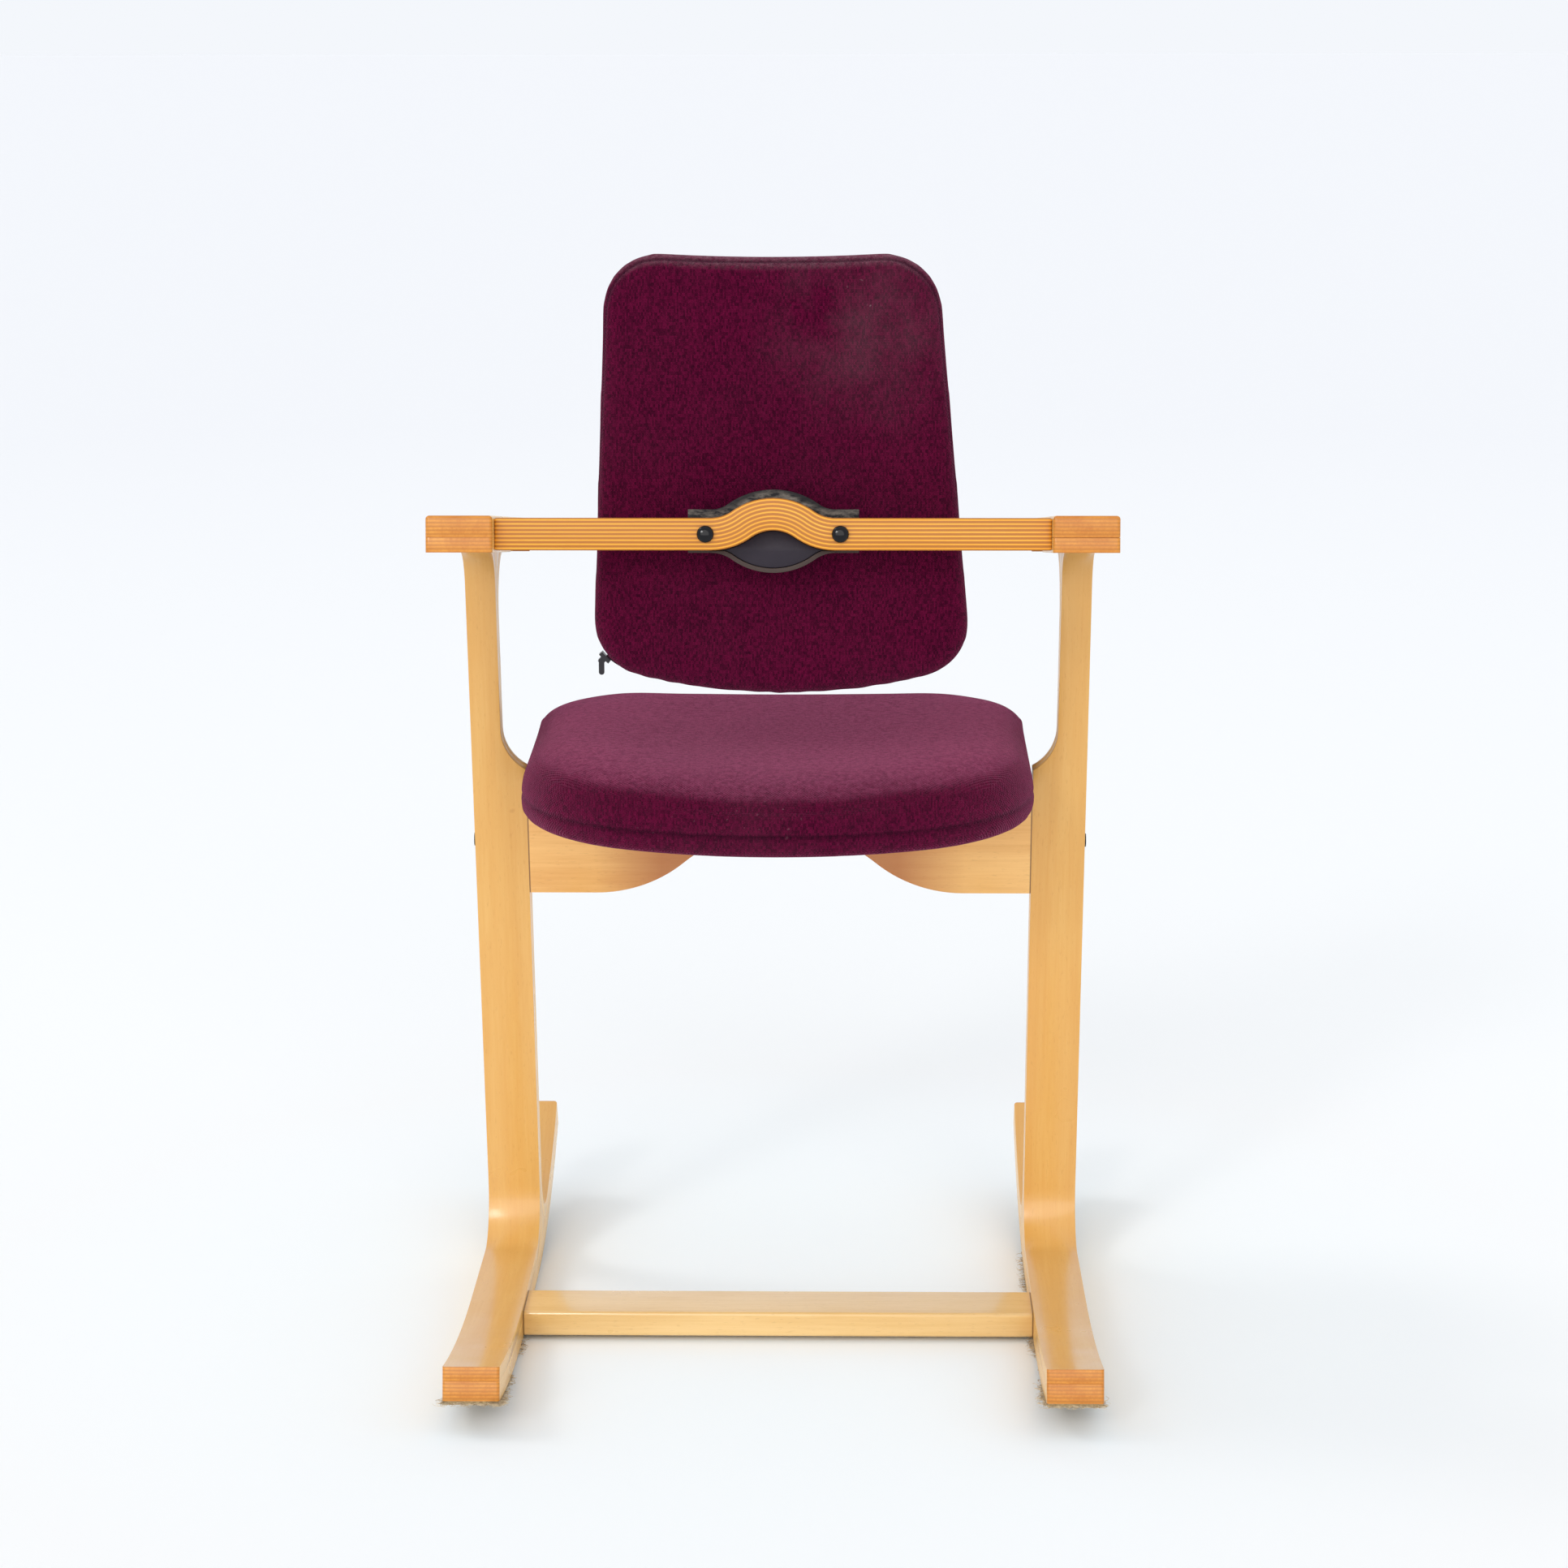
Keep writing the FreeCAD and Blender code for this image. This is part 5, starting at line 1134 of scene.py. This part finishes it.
def makeFibres(side):
    weights = frayed[side]
    sign = weights["sign"]
    dice = random.Random(floorFelt["seed"] + sign)
    points, faces = makeStrand()
    line = runnerLine(floorFelt["level"])
    lengths = np.concatenate(([0.0], np.cumsum(np.linalg.norm(np.diff(line, axis=0), axis=1))))
    verts, allFaces = [], []
    for _ in range(floorFelt["count"]):
        kind = dice.random()
        if kind < weights["rearEnd"]:
            spot, outward = dice.random() ** 2 * floorFelt["endRun"], dice.random()
        elif kind < weights["rearEnd"] + weights["inner"]:
            spot, outward = dice.choice(weights["tufts"]) + dice.gauss(0, floorFelt["tuftSpread"]), 0.0
        else:
            spot = dice.choice(weights["outer"]) + dice.gauss(0, floorFelt["edgeSpread"])
            outward = float(dice.random() < floorFelt["outerShare"])
        spot = min(max(spot, 0.0), lengths[-1])
        across = floorFelt["innerX"] + (floorFelt["outerX"] - floorFelt["innerX"]) * outward
        y = float(np.interp(spot, lengths, line[:, 0]))
        z = float(np.interp(spot, lengths, line[:, 1]))
        if kind < weights["rearEnd"]:
            bearing = -math.pi / 2 + dice.gauss(0, floorFelt["endFan"])
        else:
            bearing = (math.pi if outward < 0.5 else 0.0) + dice.gauss(0, floorFelt["edgeFan"])
        if sign < 0:
            bearing = math.pi - bearing
        length = dice.uniform(floorFelt["short"], floorFelt["long"])
        length *= 1.0 if kind < floorFelt["trimFrom"] else floorFelt["trim"]
        radius = dice.uniform(floorFelt["thin"], floorFelt["thick"])
        curl = dice.gauss(0, floorFelt["curl"])
        lift = dice.uniform(*floorFelt["lift"])
        lift *= 1.0 if z > floorFelt["flatBelow"] else floorFelt["flatLift"]
        root = (sign * across, y, max(z, floorFelt["low"]))
        allFaces += [[corner + len(verts) for corner in face] for face in faces]
        verts += curlStrand(points, root, bearing, length, radius, curl, lift).tolist()
    fibres = newMeshPiece(side + "_strip_fibres", verts, allFaces)
    fibres.data.materials.append(strayFibre)
    makeActive(fibres)
    bpy.ops.object.shade_smooth()
    dress(fibres, "frame", "felt")


def dressFelt(side):
    nodeName = side + "_floor_strip"
    piece = cleanCopy(nodeName, nodeName + "_felt")
    piece.data.materials.append(feltStrip)
    smoothByAngle(piece)
    dress(piece, "frame", "felt", nodeName)


for side in frayed:
    dressFelt(side)
    makeFibres(side)
print("floor felt frayed")

# nodes that keep their CAD shape
nodeFinishes = {
    "seat_board_dowels": dowelWood, "cleat_dowels": dowelWood, "stretcher_dowels": dowelWood,
    "back_bar_dowels": dowelWood, "seat_shell": shellPly, "back_shell": shellPly,
    "seat_board_bolts": blackSteel, "seat_board_barrel_nuts": zincSteel, "seat_screws": zincSteel,
    "bar_inserts": zincSteel, "pivot_axle": zincSteel, "axle_clips": blackSteel, "back_bracket": blackSteel,
    "pivot_bush": bushRubber, "bracket_screws": zincSteel, "zip_tape": zipCloth,
    "zip_slider": zipMetal, "zip_pull": zipMetal,
}
for nodeName, material in nodeFinishes.items():
    mesh = nodes[nodeName].data
    mesh.materials.clear()
    mesh.materials.append(material)
print("CAD nodes finished:", len(nodeFinishes))

# floor, light and camera
studio = {
    "floor": (0.902, 0.896, 0.910, 1), "farFloor": (0.842, 0.836, 0.870, 1), "farReach": 7.0,
    # painted cool tint: the floor round the chair is bluer, so that the shadows there look cool
    "nearShadowTint": (0.905, 0.955, 0.995, 1), "nearReach": 0.75, "floorDrop": 0.0004, "floorSize": 160.0,
    "sky": (0.905, 0.930, 0.972, 1), "ambient": (0.835, 0.880, 0.900, 1),
}
suns = {
    "keySun": {"strength": 0.34, "tint": (1.0, 0.955, 0.905), "way": (0.9, -0.26, -1.0), "angle": 16},
    "sideSun": {"strength": 0.26, "tint": (1.0, 0.955, 0.905), "way": (0.46, 0.9, -0.52), "angle": 9},
    "fillSun": {"strength": 1.90, "tint": (1.0, 0.975, 0.945), "way": (0.10, 1.0, -0.14), "angle": 70},
}
glint = {"power": 24.0, "place": (-1.5, -2.2, 2.0), "aim": (0.0, -0.2, 0.72), "size": 0.7}
view = {"lens": 84.6, "place": (0.060, -3.149, 1.147), "pitch": 12.0, "yaw": 0.985, "roll": 0.11}


def makeFloor():
    clearSelection()
    bpy.ops.mesh.primitive_plane_add(size=studio["floorSize"], location=(0, 0, -studio["floorDrop"]))
    floor = bpy.context.object
    floor.name = "studio_floor"
    material, tree, shader = newMaterial("paleFloor", {"Roughness": 0.9, "Specular IOR Level": 0.1})
    place = ownPlace(tree)
    away = addNode(tree, "ShaderNodeVectorMath", {0: place}, operation="LENGTH").outputs["Value"]
    far = spread(tree, away, studio["nearReach"], studio["farReach"])
    colour = mixColours(tree, far, studio["floor"], studio["farFloor"])
    # painted cool shadow tint on the floor round the chair
    near = spread(tree, away, studio["nearReach"], studio["nearReach"] * 0.3)
    tree.links.new(mixColours(tree, near, colour, studio["nearShadowTint"]), shader.inputs["Base Color"])
    floor.data.materials.append(material)


def makeWorld():
    world = bpy.data.worlds.new("studioSky")
    scene.world = world
    world.use_nodes = True
    tree = world.node_tree
    tree.nodes.clear()
    rays = addNode(tree, "ShaderNodeLightPath").outputs
    seen = calc(tree, "MAXIMUM", rays["Is Camera Ray"], rays["Is Glossy Ray"])
    seen = calc(tree, "MAXIMUM", seen, rays["Is Transmission Ray"])
    colour = mixColours(tree, seen, studio["ambient"], studio["sky"])
    sky = addNode(tree, "ShaderNodeBackground", {"Color": colour, "Strength": 1.0})
    addNode(tree, "ShaderNodeOutputWorld", {0: sky.outputs[0]})


def aimLamp(lamp, way):
    lamp.rotation_mode = "QUATERNION"
    lamp.rotation_quaternion = Vector(way).to_track_quat("-Z", "Y")


def makeSun(name):
    values = suns[name]
    lamp = bpy.data.lights.new(name, "SUN")
    lamp.energy = values["strength"]
    lamp.color = values["tint"]
    lamp.angle = math.radians(values["angle"])
    aimLamp(addObject(name, lamp), values["way"])


def makeGlint():  # a soft box that only shows in glossy reflections
    lamp = bpy.data.lights.new("glintBox", "AREA")
    lamp.energy = glint["power"]
    lamp.size = glint["size"]
    box = addObject("glintBox", lamp)
    box.location = glint["place"]
    aimLamp(box, Vector(glint["aim"]) - Vector(glint["place"]))
    box.visible_diffuse = False
    box.visible_camera = False


def makeCamera():
    lens = bpy.data.cameras.new("photoCamera")
    lens.lens = view["lens"]
    lens.sensor_width = 36.0
    camera = addObject("photoCamera", lens)
    camera.location = view["place"]
    angles = (90 - view["pitch"], view["roll"], view["yaw"])
    camera.rotation_euler = Euler([math.radians(angle) for angle in angles])
    scene.camera = camera


makeFloor()
makeWorld()
for name in suns:
    makeSun(name)
makeGlint()
makeCamera()
print("studio ready")

clearSelection()
